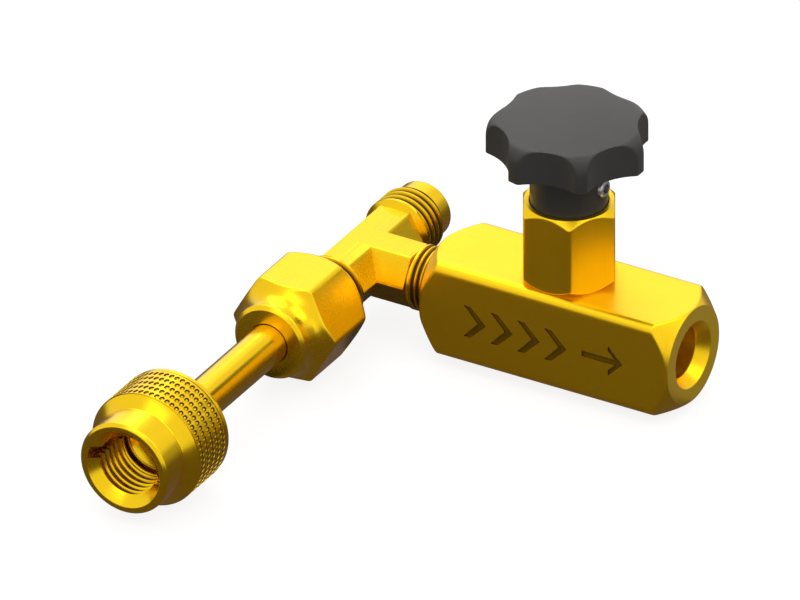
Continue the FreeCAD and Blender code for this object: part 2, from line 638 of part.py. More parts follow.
def tee_fitting():
    body = new_body("tee_fitting", (run_axis_x, 0, 0))
    run = new_sketch(body, "run_section", "XZ_Plane")
    add_hexagon(run, dims.arm_flats)
    extrude(body, "Pad", "run_hexagon", run, dims.run_half_length * 2, both_ways=True)
    branch = new_sketch(body, "branch_section", "YZ_Plane")
    add_hexagon(branch, dims.arm_flats)
    extrude(body, "Pad", "branch_hexagon", branch, dims.branch_hex_length)
    root = dims.arm_flats / 2 - dims.end_face_inset
    end = dims.tee_reach + dims.branch_engagement
    start = dims.branch_hex_length
    chamfer = dims.thread_end_chamfer
    radius = dims.branch_radius
    revolve(body, "branch_thread", [
        (start - root, 0), (start - root, root), (start, root), (start + dims.thread_run_in, radius),
        (end - chamfer, radius), (end, radius - chamfer), (end, 0)], role="XY_Plane", axis="H_Axis")
    radius = dims.flare_thread_radius
    for side, name in ((1, "rear_flare"), (-1, "front_flare")):
        revolve(body, name, [
            (0, (dims.run_half_length - root) * side), (root, (dims.run_half_length - root) * side),
            (root, dims.run_half_length * side),
            (radius, (dims.run_half_length + dims.thread_run_in) * side),
            (radius, (dims.flare_thread_end - radius + dims.nose_radius) * side),
            (dims.nose_radius, dims.flare_thread_end * side), (dims.nose_radius, nose_front * side),
            (dims.flare_land_radius, cone_front * side), (0, cone_front * side)], role="XY_Plane")
    run_bore = new_sketch(body, "run_bore_section", "XZ_Plane")
    add_circle(run_bore, dims.arm_bore_radius)
    extrude(body, "Pocket", "run_bore", run_bore, cone_front * 2.1, both_ways=True)
    branch_bore = new_sketch(body, "branch_bore_section", "YZ_Plane")
    add_circle(branch_bore, dims.arm_bore_radius)
    extrude(body, "Pocket", "branch_bore", branch_bore, end * 1.05, reverse=True)
    return body


# Flare nut: a forged hexagon that runs out in a bell and a round collar

def flare_nut():
    body = new_body("flare_nut", (run_axis_x, 0, 0), FORWARD)
    section = new_sketch(body, "nut_section", "XY_Plane", (0, 0, dims.nut_back))
    add_hexagon(section, dims.nut_flats)
    prism = extrude(body, "Pad", "nut_hexagon", section, dims.nut_length)
    round_long_edges(body, "nut_edges", prism, FreeCAD.Vector(0, 0, 1), dims.nut_length,
                     dims.nut_edge_radius)
    face = dims.nut_flats / 2 - dims.nut_face_inset
    outside = dims.nut_flats * 0.65
    collar = dims.nut_collar_radius
    chamfer = dims.nut_collar_chamfer
    collar_back = nut_front - dims.nut_collar_length
    bell = dims.nut_bell_radius
    groove(body, "nut_bell", [
        [(collar - chamfer, nut_front), (collar, nut_front - chamfer), (collar, collar_back),
         (collar + bell, collar_back - bell, -bell), (outside * 1.1, collar_back - bell),
         (outside * 1.1, nut_front)],
        [(face, dims.nut_back), (outside, dims.nut_back + outside - face), (outside, dims.nut_back)],
    ])
    thread = dims.flare_thread_radius + dims.static_gap
    hole = dims.tube_radius + dims.nut_hole_gap
    seat = tube_back + dims.flare_mouth_radius + flare_offset + dims.static_gap * DIAGONAL
    groove(body, "nut_bore", [[
        (0, dims.nut_back), (thread, dims.nut_back), (thread, seat - thread), (hole, seat - hole),
        (hole, nut_front), (0, nut_front)]])
    return body


# Tube: flared at 45 degrees at both ends

def tube():
    body = new_body("tube", (run_axis_x, 0, 0), FORWARD)
    mouth = dims.flare_mouth_radius
    bore = dims.tube_bore_radius
    outside = dims.tube_radius
    back = tube_back
    front = dims.tube_front
    lip = flare_offset / 2
    revolve(body, "tube_turning", [
        (mouth, back), (rim_radius, back + lip), (outside, back + mouth + flare_offset - outside),
        (outside, front - mouth - flare_offset + outside), (rim_radius, front - lip), (mouth, front),
        (bore, front - mouth + bore), (bore, back + mouth - bore)])
    return body


# Core depressor: an insert in the front flare with a pin that opens the mating port's core

def core_depressor():
    body = new_body("core_depressor", (run_axis_x, 0, 0), FORWARD)
    inner_cone = dims.tube_front - dims.flare_mouth_radius + dims.static_gap * DIAGONAL
    head = dims.depressor_head_radius
    tail = dims.tube_bore_radius - dims.static_gap
    bore = dims.depressor_bore_radius
    back = inner_cone + tail - dims.depressor_tail_length
    web_front = back + dims.depressor_web
    pin = dims.depressor_pin_radius
    revolve(body, "depressor_turning", [
        (0, back), (tail, back), (tail, inner_cone + tail), (head, inner_cone + head),
        (bore, inner_cone + head), (bore, web_front), (pin, web_front),
        (pin, dims.tube_front + dims.depressor_pin_reach),
        (0, dims.tube_front + dims.depressor_pin_reach)])
    hole = new_sketch(body, "flow_hole_section", "XY_Plane", (0, 0, web_front))
    add_circle(hole, dims.depressor_hole_radius, ((pin + bore) / 2, 0))
    cut = extrude(body, "Pocket", "flow_hole", hole, dims.depressor_web)
    holes = body.newObject("PartDesign::PolarPattern", "flow_holes")
    holes.Originals = [cut]
    holes.Axis = (hole, ["N_Axis"])
    holes.Angle = 360
    holes.Occurrences = FLOW_HOLES
    body.Tip = holes
    doc.recompute()
    return body


# Swivel sleeve: carries the coupler behind the tube's front flare and slides along the tube

def swivel_sleeve():
    body = new_body("swivel_sleeve", (run_axis_x, 0, 0), FORWARD)
    bore = sleeve_bore_radius
    tail = dims.sleeve_tail_radius
    flange = dims.sleeve_radius
    revolve(body, "sleeve_turning", [
        (bore, tail_end), (tail, tail_end), (tail, sleeve_shoulder), (flange, sleeve_shoulder),
        (flange, sleeve_front), (bore, bore - sleeve_cone)])
    return body


# Coupler: a knurled swivel nut with a female flare thread and two vent slots

def coupler():
    body = new_body("coupler", (run_axis_x, 0, 0), FORWARD)
    nose = dims.coupler_nose_radius
    rim = dims.coupler_rim_chamfer
    nose_back = coupler_front - dims.coupler_nose_length
    grip_front = nose_back - dims.band_radius + nose
    edge = dims.grip_edge
    hole = dims.sleeve_tail_radius + dims.running_gap
    chamber = dims.coupler_chamber_radius
    thread = dims.coupler_thread_radius
    mouth = dims.coupler_mouth_radius
    revolve(body, "coupler_turning", [
        (hole, coupler_back), (dims.band_radius - edge, coupler_back),
        (dims.band_radius, coupler_back + edge), (dims.band_radius, band_front),
        (dims.grip_radius, band_front), (dims.grip_radius, grip_front), (dims.band_radius, grip_front),
        (nose, nose_back), (nose, coupler_front - rim), (nose - rim, coupler_front),
        (mouth, coupler_front), (thread, coupler_front - mouth + thread), (thread, thread_back),
        (chamber, thread_back), (chamber, coupler_shoulder), (hole, coupler_shoulder)])
    slots = new_sketch(body, "vent_section", "XY_Plane", (0, 0, coupler_front))
    reach = thread + dims.vent_depth
    half = dims.vent_width / 2
    along, across = math.cos(VENT_ANGLE), math.sin(VENT_ANGLE)
    corners = [(-reach, -half), (reach, -half), (reach, half), (-reach, half)]
    add_loop(slots, [(x * along - y * across, x * across + y * along) for x, y in corners])
    extrude(body, "Pocket", "vent_slots", slots, dims.coupler_thread_depth)
    return body


for make in (valve_body, bonnet, bonnet_gasket, packing, gland_clip, needle_tip, tip_clip, stem, knob,
             knob_insert, set_screw, tee_fitting, flare_nut, tube, core_depressor, swivel_sleeve,
             coupler):
    make()
doc.recompute()

# Every feature has to be sound before anything is written
for item in doc.Objects:
    if "Invalid" in item.State or "Error" in item.State:
        raise RuntimeError(f"{item.Label} failed: {item.State}")
bodies = [item for item in doc.Objects if item.TypeId == "PartDesign::Body"]
for body in bodies:
    if body.Shape.isNull() or not body.Shape.isValid() or len(body.Shape.Solids) != 1:
        raise RuntimeError(f"{body.Label} has no single valid solid")

os.makedirs("parts", exist_ok=True)
for body in bodies:
    body.Shape.exportStep(f"parts/{body.Label}.step")
    print(f"{body.Label}: {body.Shape.Volume:.2f} mm3")
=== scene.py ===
import math

import bmesh
import bpy
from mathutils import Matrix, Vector


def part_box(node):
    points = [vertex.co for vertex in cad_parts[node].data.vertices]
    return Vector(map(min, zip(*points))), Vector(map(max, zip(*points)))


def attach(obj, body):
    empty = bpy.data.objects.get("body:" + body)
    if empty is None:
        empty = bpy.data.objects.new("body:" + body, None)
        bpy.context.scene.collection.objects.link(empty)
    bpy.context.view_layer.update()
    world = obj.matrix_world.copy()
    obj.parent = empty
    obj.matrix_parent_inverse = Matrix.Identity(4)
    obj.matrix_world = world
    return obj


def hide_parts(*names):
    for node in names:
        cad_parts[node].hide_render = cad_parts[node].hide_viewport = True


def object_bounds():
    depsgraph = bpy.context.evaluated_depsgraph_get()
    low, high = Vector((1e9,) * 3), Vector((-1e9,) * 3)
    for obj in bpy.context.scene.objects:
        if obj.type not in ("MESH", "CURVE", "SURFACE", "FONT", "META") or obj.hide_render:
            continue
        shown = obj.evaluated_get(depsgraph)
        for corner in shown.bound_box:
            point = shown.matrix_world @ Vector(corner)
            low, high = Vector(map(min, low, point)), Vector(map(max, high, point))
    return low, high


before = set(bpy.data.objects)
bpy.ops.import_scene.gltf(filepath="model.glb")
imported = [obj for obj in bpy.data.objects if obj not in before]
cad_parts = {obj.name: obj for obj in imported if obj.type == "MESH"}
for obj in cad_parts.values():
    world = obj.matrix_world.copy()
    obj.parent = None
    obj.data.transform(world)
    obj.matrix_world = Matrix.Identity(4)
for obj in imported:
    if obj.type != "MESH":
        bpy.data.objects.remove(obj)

bl_info = {
    "name": "Bleed-off valve",
    "version": (1, 0, 0),
    "blender": (4, 5, 0),
    "location": "View3D > Sidebar > Valve",
    "description": "Gives a brass bleed-off valve its threads, knurl, engraving and finishes",
    "category": "Add Mesh",
}

MM = 0.001
MERGE = 0.002 * MM
FULL_TURN = 2 * math.pi
THREAD_ROWS = 12
SHARP_ANGLE = math.radians(32)
BRASS_METAL = 1.0
CAD_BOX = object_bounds()

# Axes of the two main lines of the valve, taken from the measured pieces
BODY_LOW, BODY_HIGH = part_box("valve_body")
STEM_LOW, STEM_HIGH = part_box("stem")
STEM_X = (STEM_LOW.x + STEM_HIGH.x) / 2
FLARE_RADIUS = 5.5 * MM
RUN_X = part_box("tee_fitting")[0].x + FLARE_RADIUS
FLOOR_Z = CAD_BOX[0].z


def length(name, text, millimetres):
    """A length that a user can change, held in metres."""
    return bpy.props.FloatProperty(name=name, description=text, default=millimetres * MM, unit="LENGTH",
                                   precision=5)


def colour(name, text, red, green, blue):
    """A colour that a user can change."""
    return bpy.props.FloatVectorProperty(name=name, description=text, default=(red, green, blue),
                                         subtype="COLOR", min=0, max=1)


class BarSizes(bpy.types.PropertyGroup):
    """Details of the square body and the hexagonal bonnet."""

    edge_blend: length("Edge blend", "softening where a turned cone meets a flat", 0.14)
    mark_depth: length("Mark depth", "depth of the engraved marks", 0.35)
    mark_stroke: length("Mark stroke", "width of an engraved chevron's arm", 1.25)
    chevron_count: bpy.props.IntProperty(name="Chevrons", description="chevrons behind the arrow",
                                         default=4)
    chevron_pitch: length("Chevron pitch", "distance from one chevron to the next", 4.7)


class ThreadSizes(bpy.types.PropertyGroup):
    """Pitches of the threads."""

    flare_pitch: length("Flare pitch", "pitch of the flare threads and the coupler's thread", 1.27)
    pipe_pitch: length("Pipe pitch", "pitch of the pipe threads", 0.94)


class KnurlSizes(bpy.types.PropertyGroup):
    """The dimples of the coupler's grip."""

    per_ring: bpy.props.IntProperty(name="Per ring", description="dimples in one ring", default=64)
    rings: bpy.props.IntProperty(name="Rings", description="rings of dimples", default=5)
    half_width: length("Half width", "half of a dimple across the grip", 0.385)
    half_length: length("Half length", "half of a dimple along the grip", 0.58)
    depth: length("Dimple depth", "depth of one dimple", 0.34)


class FinishColours(bpy.types.PropertyGroup):
    """Colours of the finishes."""

    brass: colour("Brass", "clean brass", 0.95, 0.635, 0.015)
    brass_deep: colour("Deep brass", "warmer, darker patches of brass", 0.85, 0.52, 0.01)
    # Painted shade colour, mixed into the brass in the marks, on the dimple walls and in the thread roots.
    hollow_shade_tone: colour("Hollow shade", "brown film in marks and hollows", 0.08, 0.04, 0.006)
    steel: colour("Steel", "plated steel", 0.6, 0.6, 0.62)
    copper: colour("Copper", "soft copper", 0.80, 0.36, 0.20)
    packing: colour("Packing", "white packing", 0.85, 0.85, 0.82)
    plastic: colour("Plastic", "black moulded plastic", 0.055, 0.053, 0.049)


class StageSizes(bpy.types.PropertyGroup):
    """Floor, lamps and camera."""

    azimuth: bpy.props.FloatProperty(name="Azimuth", description="camera's turn round the valve",
                                     default=math.radians(30), subtype="ANGLE")
    elevation: bpy.props.FloatProperty(name="Elevation", description="camera's height over the horizon",
                                       default=math.radians(30), subtype="ANGLE")
    view_width: length("View width", "width that the camera sees", 121.21)
    centre_right: length("Centre right", "middle of the view to the right of the origin", -42.72)
    centre_up: length("Centre up", "middle of the view above the origin", 7.83)
    floor_colour: colour("Floor", "pale floor", 0.8, 0.8, 0.8)


# Shapes

class Axis:
    """A line to turn a piece round: distances run along it, and angle 0 points to start."""

    def __init__(self, origin, along, start):
        self.origin = Vector(origin)
        self.along = Vector(along)
        self.start = Vector(start)
        self.side = self.along.cross(self.start)

    def place(self, distance, radius, turn):
        out = self.start * math.cos(turn) + self.side * math.sin(turn)
        return self.origin + self.along * distance + out * radius


BODY_AXIS = Axis((0, 0, 0), (1, 0, 0), (0, 1, 0))
STEM_AXIS = Axis((STEM_X, 0, 0), (0, 0, 1), (0, 1, 0))
RUN_AXIS = Axis((RUN_X, 0, 0), (0, 1, 0), (0, 0, 1))
FRONT_AXIS = Axis((RUN_X, 0, 0), (0, -1, 0), (0, 0, 1))
BRANCH_AXIS = Axis((RUN_X, 0, 0), (1, 0, 0), (0, 0, 1))


def new_piece(name, mesh):
    """An object at the origin with its place in its mesh."""
    piece = bpy.data.objects.new(name, mesh)
    bpy.context.scene.collection.objects.link(piece)
    return piece


def mesh_from(bm, name):
    """Close a bmesh up, turn its faces outwards and write it to a mesh."""
    bmesh.ops.remove_doubles(bm, verts=bm.verts, dist=MERGE)
    bmesh.ops.dissolve_degenerate(bm, dist=MERGE / 10, edges=bm.edges)
    bmesh.ops.recalc_face_normals(bm, faces=bm.faces)
    mesh = bpy.data.meshes.new(name)
    bm.to_mesh(mesh)
    bm.free()
    return mesh


def loft_mesh(name, axis, rows, columns):
    """The surface through rows, each a (distance, radius) pair or a function of the angle."""
    bm = bmesh.new()
    before = None
    for row in rows:
        line = []
        for column in range(columns + 1):
            turn = FULL_TURN * column / columns
            distance, radius = row(turn) if callable(row) else row
            line.append(bm.verts.new(axis.place(distance, radius, turn)))
        if before:
            for column in range(columns):
                bm.faces.new((before[column], before[column + 1], line[column + 1], line[column]))
        before = line
    return mesh_from(bm, name)


def loft(name, axis, rows, columns=96):
    """A turned piece from its rows."""
    return new_piece(name, loft_mesh(name, axis, rows, columns))


def smooth_step(share):
    """0 below 0, 1 above 1, and a soft rise between them."""
    share = min(max(share, 0.0), 1.0)
    return share * share * (3 - 2 * share)


def blend_min(first, second, blend):
    """The smaller of two lengths, rounded over where they are nearly equal."""
    share = min(max(0.5 + 0.5 * (second - first) / blend, 0.0), 1.0)
    return second + (first - second) * share - blend * share * (1.0 - share)


def line_rows(start, end, count):
    """Evenly spaced (distance, radius) pairs from start to end."""
    return [(start[0] + (end[0] - start[0]) * step / count, start[1] + (end[1] - start[1]) * step / count)
            for step in range(count + 1)]


def softened(corners, radius, steps=3):
    """A profile with each inner corner rounded over by a small arc."""
    points = [corners[0]]
    for before, corner, after in zip(corners, corners[1:], corners[2:]):
        spot = Vector(corner)
        back = Vector(before) - spot
        ahead = Vector(after) - spot
        reach = min(radius, back.length * 0.45, ahead.length * 0.45)
        first = spot + back.normalized() * reach
        last = spot + ahead.normalized() * reach
        for step in range(steps + 1):
            share = step / steps
            bend = first * (1 - share) ** 2 + spot * 2 * share * (1 - share) + last * share ** 2
            points.append((bend.x, bend.y))
    points.append(corners[-1])
    return points


def prism_limit(sides, across, edge_radius):
    """Distance from the axis to a polygonal bar with rounded edges, as a function of the angle."""
    half = across / 2
    sector = FULL_TURN / sides
    core = half - edge_radius
    centre = core / math.cos(sector / 2)
    tangent = math.atan2(core * math.tan(sector / 2), half)

    def limit(turn):
        away = abs((turn + sector / 2) % sector - sector / 2)
        if away <= tangent:
            return half / math.cos(away)
        rest = sector / 2 - away
        across_edge = edge_radius ** 2 - (centre * math.sin(rest)) ** 2
        return centre * math.cos(rest) + math.sqrt(max(across_edge, 0))
    return limit


def within(points, limit, blend):
    """Rows that follow a profile but stay inside a limit."""
    def row(distance, radius):
        return lambda turn: (distance, blend_min(radius, limit(turn), blend))
    return [row(distance, radius) for distance, radius in points]


def thread_depth_at(phase):
    """Share of the thread's full depth at a phase of its pitch: 0 on a crest, 1 at a root."""
    away = abs(phase - round(phase))
    return smooth_step((away - 1 / 16) / (5 / 16))


def thread_rows(start, end, pitch, radius_at):
    """Rows that wind along a right-hand thread from start to end; radius_at(distance, cut)."""
    way = 1 if end > start else -1
    first = start - pitch if way > 0 else start
    low, high = min(start, end), max(start, end)
    count = math.ceil((high - low + pitch) / pitch * THREAD_ROWS)

    def row(index):
        def spot(turn):
            distance = first + pitch * turn / FULL_TURN + way * index * pitch / THREAD_ROWS
            distance = min(max(distance, low), high)
            cut = thread_depth_at(distance / pitch - turn / FULL_TURN)
            fade = smooth_step((distance - low) / pitch * 2) * smooth_step((high - distance) / pitch * 4)
            return distance, radius_at(distance, cut * fade)
        return spot
    return [row(index) for index in range(count + 1)]


def prism(name, outline, near, far):
    """A closed prism: outline holds (x, z) corners, near and far are its two y levels."""
    bm = bmesh.new()
    rings = [[bm.verts.new((x, y, z)) for x, z in outline] for y in (near, far)]
    bm.faces.new(rings[0])
    bm.faces.new(rings[1])
    for index in range(len(outline)):
        after = (index + 1) % len(outline)
        bm.faces.new((rings[0][index], rings[0][after], rings[1][after], rings[1][index]))
    return new_piece(name, mesh_from(bm, name))


def bar_cutter(axis, start, end, radius, columns=48):
    """A plain round cutter along an axis."""
    return loft("cutter", axis, [(start, 0), (start, radius), (end, radius), (end, 0)], columns)


def bake(piece):
    """Replace a piece's mesh by what its modifiers give, and drop the modifiers."""
    shown = piece.evaluated_get(bpy.context.evaluated_depsgraph_get())
    made = bpy.data.meshes.new_from_object(shown)
    made.validate()
    piece.modifiers.clear()
    piece.data = made


def combine(piece, others, operation="DIFFERENCE"):
    """Cut the others from a piece, or join them to it."""
    for other in others:
        change = piece.modifiers.new(operation.lower(), "BOOLEAN")
        change.operation = operation
        change.solver = "EXACT"
        change.object = other
    bake(piece)
    for other in others:
        bpy.data.objects.remove(other)


def finish_piece(piece, body, node, material):
    """Shade a piece, give it its finish, and hand it to its body in place of its node."""
    piece.data.materials.clear()
    piece.data.materials.append(material)
    piece.data.shade_smooth()
    piece.data.set_sharp_from_angle(angle=SHARP_ANGLE)
    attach(piece, body)
    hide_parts(node)


# Finishes

class Wire:
    """A shader value; sums of wires and numbers add their own Math nodes."""

    def __init__(self, tree, socket):
        self.tree = tree
        self.socket = socket

    def sum(self, operation, *values):
        return self.tree.node("ShaderNodeMath", {"operation": operation}, dict(enumerate(values)))

    def __add__(self, other):
        return self.sum("ADD", self, other)

    __radd__ = __add__

    def __sub__(self, other):
        return self.sum("SUBTRACT", self, other)

    def __rsub__(self, other):
        return self.sum("SUBTRACT", other, self)

    def __mul__(self, other):
        return self.sum("MULTIPLY", self, other)

    __rmul__ = __mul__

    def __truediv__(self, other):
        return self.sum("DIVIDE", self, other)

    def power(self, other):
        return self.sum("POWER", self, other)

    def largest(self, other):
        return self.sum("MAXIMUM", self, other)


class Tree:
    """A node tree that is filled by plain calls."""

    def __init__(self, node_tree):
        self.nodes = node_tree.nodes
        self.links = node_tree.links
        self.nodes.clear()

    def node(self, kind, settings=None, inputs=None, output=0):
        """Add a node: its settings first, then its inputs as values or wires; gives one output."""
        made = self.nodes.new(kind)
        for key, value in (settings or {}).items():
            setattr(made, key, value)
        for key, value in (inputs or {}).items():
            if isinstance(value, Wire):
                self.links.new(value.socket, made.inputs[key])
            else:
                made.inputs[key].default_value = value
        return Wire(self, made.outputs[output]) if len(made.outputs) else None

    def noise(self, place, scale, detail=2.0, roughness=0.5):
        return self.node("ShaderNodeTexNoise", None,
                         {"Vector": place, "Scale": scale, "Detail": detail, "Roughness": roughness})

    def mixed(self, factor, first, second):
        """One colour into another by a factor."""
        return self.node("ShaderNodeMix", {"data_type": "RGBA"},
                         {0: factor, 6: (*first, 1) if not isinstance(first, Wire) else first,
                          7: (*second, 1) if not isinstance(second, Wire) else second}, 2)

    def between(self, value):
        """A value held between 0 and 1."""
        return self.node("ShaderNodeMath", {"operation": "MULTIPLY", "use_clamp": True}, {0: value, 1: 1.0})

    def inside(self, value, low, high, slope):
        """1 where a value lies from low to high, with ramps of the given slope at both ends."""
        return self.between((value - low) * slope) * self.between((high - value) * slope)

    def bump(self, height, distance, strength=1.0, below=None):
        inputs = {"Height": height, "Distance": distance, "Strength": strength}
        if below:
            inputs["Normal"] = below
        return self.node("ShaderNodeBump", None, inputs)

    def place(self, scale=(1, 1, 1)):
        """Object coordinates in millimetres, stretched by scale."""
        spot = self.node("ShaderNodeTexCoord", None, None, "Object")
        return self.node("ShaderNodeMapping", None,
                         {"Vector": spot, "Scale": tuple(part / MM for part in scale)})

    def spot(self):
        """X, Y and Z of the place in millimetres, one wire each."""
        parts = self.node("ShaderNodeSeparateXYZ", None, {"Vector": self.place()})
        return [Wire(self, socket) for socket in parts.socket.node.outputs]

    def surface(self, inputs, fixed):
        """The surface shader and the material's output; fixed holds sockets with one value all over."""
        shader = self.node("ShaderNodeBsdfPrincipled", None, {**inputs, **fixed})
        self.node("ShaderNodeOutputMaterial", None, {"Surface": shader})


def new_material(name):
    material = bpy.data.materials.new(name)
    material.use_nodes = True
    return material, Tree(material.node_tree)


def brass_material(name, grain, roughness, grain_depth, mottle=0.5, painted_shade=None):
    """Brass whose tool marks are stretched along grain, with faint warmer patches.

    The last argument gives the share of painted shade, a dark brown mixed into the colour, where the piece
    has marks, dimples or thread roots.
    """
    tones = bpy.context.scene.valve_colours
    material, tree = new_material(name)
    patches = tree.noise(tree.place(), 0.16, 3.0)
    marks = tree.noise(tree.place(grain), 1.0, 4.0, 0.62)
    fine = tree.noise(tree.place(), 5.0, 3.0, 0.6)
    tone = patches * mottle + marks * (0.7 - mottle * 0.5) + fine * 0.15
    base = tree.mixed(tone, tuple(tones.brass), tuple(tones.brass_deep))
    shine = roughness - 0.09 + marks * 0.14 + patches * 0.06
    if painted_shade:
        # Painted shade: the hollow colour darkens the marks, the dimple walls and the thread roots.
        shade_share = painted_shade(tree)
        base = tree.mixed(shade_share, base, tuple(tones.hollow_shade_tone))
        shine = shine + shade_share * 0.25
    relief = tree.bump(marks, grain_depth * MM)
    relief = tree.bump(fine, grain_depth * MM * 0.4, 0.6, relief)
    tree.surface({"Base Color": base, "Roughness": shine, "Normal": relief}, {"Metallic": BRASS_METAL})
    return material


def thread_root_shade(tree):
    """Painted shade in the roots of the tee's three threads: full at the root, none at the crest."""
    across, along, height = tree.spot()
    centred = across - RUN_X / MM
    strength, core_slope = 0.93, 10.0
    run_start, run_end, run_crest, run_fade, run_core = 9.9, 15.3, 5.44, 0.42, 4.2
    run_radius = (centred * centred + height * height).power(0.5)
    on_run = tree.between((along * along - run_start ** 2) * 0.5)
    on_run = on_run * tree.between((run_end ** 2 - along * along) * 0.2)
    in_run = tree.between((run_crest - run_radius) / run_fade)
    in_run = in_run * tree.between((run_radius - run_core) * core_slope) * on_run
    branch_start, branch_crest, branch_fade, branch_core = 10.2, 5.1, 0.34, 4.0
    branch_radius = (along * along + height * height).power(0.5)
    on_branch = tree.between((centred - branch_start) * 4.0)
    in_branch = tree.between((branch_crest - branch_radius) / branch_fade)
    in_branch = in_branch * tree.between((branch_radius - branch_core) * core_slope) * on_branch
    return (in_run + in_branch) * strength


def dimple_wall_shade(tree):
    """Painted shade on the steep walls of the coupler's dimples, lighter on their floors."""
    across, along, height = tree.spot()
    centred = across - RUN_X / MM
    radius = (centred * centred + height * height).power(0.5)
    grip_front, grip_back, slope = -66.0, -57.95, 20.0
    rim, rim_fade, floor, floor_fade, floor_lift, skin = 9.42, 0.08, 9.2, 0.07, 0.7, 9.0
    # Painted shade: full on the dimple walls, partly taken off the dimple floors.
    wall = tree.between((rim - radius) / rim_fade)
    sunk = wall * (1.0 - tree.between((floor - radius) / floor_fade) * floor_lift)
    on_grip = tree.inside(along, grip_front, grip_back, slope)
    outer = tree.between((radius - skin) * slope)
    return sunk * on_grip * outer * 0.95


def mark_floor_shade(tree):
    """Painted shade on the floor of the marks in the bar's front face."""
    across, along, height = tree.spot()
    front = BODY_LOW.y / MM
    bottom, top, left, right = -3.9, 3.4, -36.5, -5.0
    sunk = tree.inside(along, front + 0.04, front + 0.6, 10.0)
    field = tree.inside(height, bottom, top, 10.0) * tree.inside(across, left, right, 5.0)
    return sunk * field * 0.8


def metal_material(name, tone, roughness, metal=0.9):
    """A plain machined metal with fine marks."""
    material, tree = new_material(name)
    marks = tree.noise(tree.place((0.4, 0.4, 3.0)), 2.0, 3.0)
    patches = tree.noise(tree.place(), 0.6, 2.0)
    darker = tuple(part * 0.72 for part in tone)
    base = tree.mixed(patches * 0.6 + marks * 0.3, tuple(tone), darker)
    relief = tree.bump(marks, 0.01 * MM)
    tree.surface({"Base Color": base, "Roughness": roughness - 0.05 + marks * 0.12, "Normal": relief},
                 {"Metallic": metal})
    return material


def packing_material():
    """Waxy white packing."""
    tones = bpy.context.scene.valve_colours
    material, tree = new_material("white_packing")
    patches = tree.noise(tree.place(), 0.8, 3.0)
    base = tree.mixed(patches, tuple(tones.packing), tuple(part * 0.86 for part in tones.packing))
    tree.surface({"Base Color": base, "Roughness": 0.42 + patches * 0.12,
                  "Normal": tree.bump(patches, 0.02 * MM)}, {})
    return material


def plastic_material():
    """Black plastic with the fine spark texture of its mould and a slight gloss."""
    tones = bpy.context.scene.valve_colours
    material, tree = new_material("moulded_plastic")
    spark = tree.noise(tree.place(), 6.0, 4.0, 0.65)
    patches = tree.noise(tree.place(), 0.22, 2.0)
    base = tree.mixed(patches * 0.6 + spark * 0.3, tuple(tones.plastic),
                      tuple(part * 1.45 for part in tones.plastic))
    relief = tree.bump(spark, 0.02 * MM)
    tree.surface({"Base Color": base, "Roughness": 0.26 + spark * 0.08 + patches * 0.06, "Normal": relief},
                 {"Specular IOR Level": 0.12})
    return material


MATERIALS = {}


def finish(name):
    """A finish by name, made when it is first asked for."""
    if name not in MATERIALS:
        tones = bpy.context.scene.valve_colours
        make = {
            "drawn_body": lambda: brass_material(name, (0.02, 2.4, 2.4), 0.33, 0.012, painted_shade=mark_floor_shade),
            "drawn_bonnet": lambda: brass_material(name, (2.4, 2.4, 0.03), 0.33, 0.012),
            "turned_brass": lambda: brass_material(name, (0.05, 3.0, 0.05), 0.22, 0.01),
            "knurled_brass": lambda: brass_material(name, (0.05, 3.0, 0.05), 0.22, 0.01, painted_shade=dimple_wall_shade),
            "forged_brass": lambda: brass_material(name, (0.9, 0.9, 0.9), 0.25, 0.003, 0.7),
            "threaded_brass": lambda: brass_material(name, (0.9, 0.9, 0.9), 0.25, 0.003, 0.7, thread_root_shade),
            "drawn_tube": lambda: brass_material(name, (2.2, 0.03, 2.2), 0.2, 0.008),
            "plated_steel": lambda: metal_material(name, tones.steel, 0.34),
            "soft_copper": lambda: metal_material(name, tones.copper, 0.38),
            "white_packing": packing_material,
            "moulded_plastic": plastic_material,
        }
        MATERIALS[name] = make[name]()
    return MATERIALS[name]


# Body and bonnet

def chevron(tip, middle, half_height, stroke):
    """Corners of one open chevron that points along +X."""
    back = tip - half_height
    return [(tip, middle), (back, middle + half_height), (back - stroke, middle + half_height),
            (tip - stroke * 1.2, middle), (back - stroke, middle - half_height),
            (back, middle - half_height)]


def arrow(tail, tip, middle, half_shaft, half_height, stroke):
    """Corners of the direction arrow."""
    back = tip - half_height
    neck = tip - stroke - half_shaft
    upper = [(tail, middle + half_shaft), (neck, middle + half_shaft),
             (back, middle + half_height - stroke), (back, middle + half_height), (tip, middle)]
    lower = [(x, 2 * middle - z) for x, z in reversed(upper[:-1])]
    return upper + lower


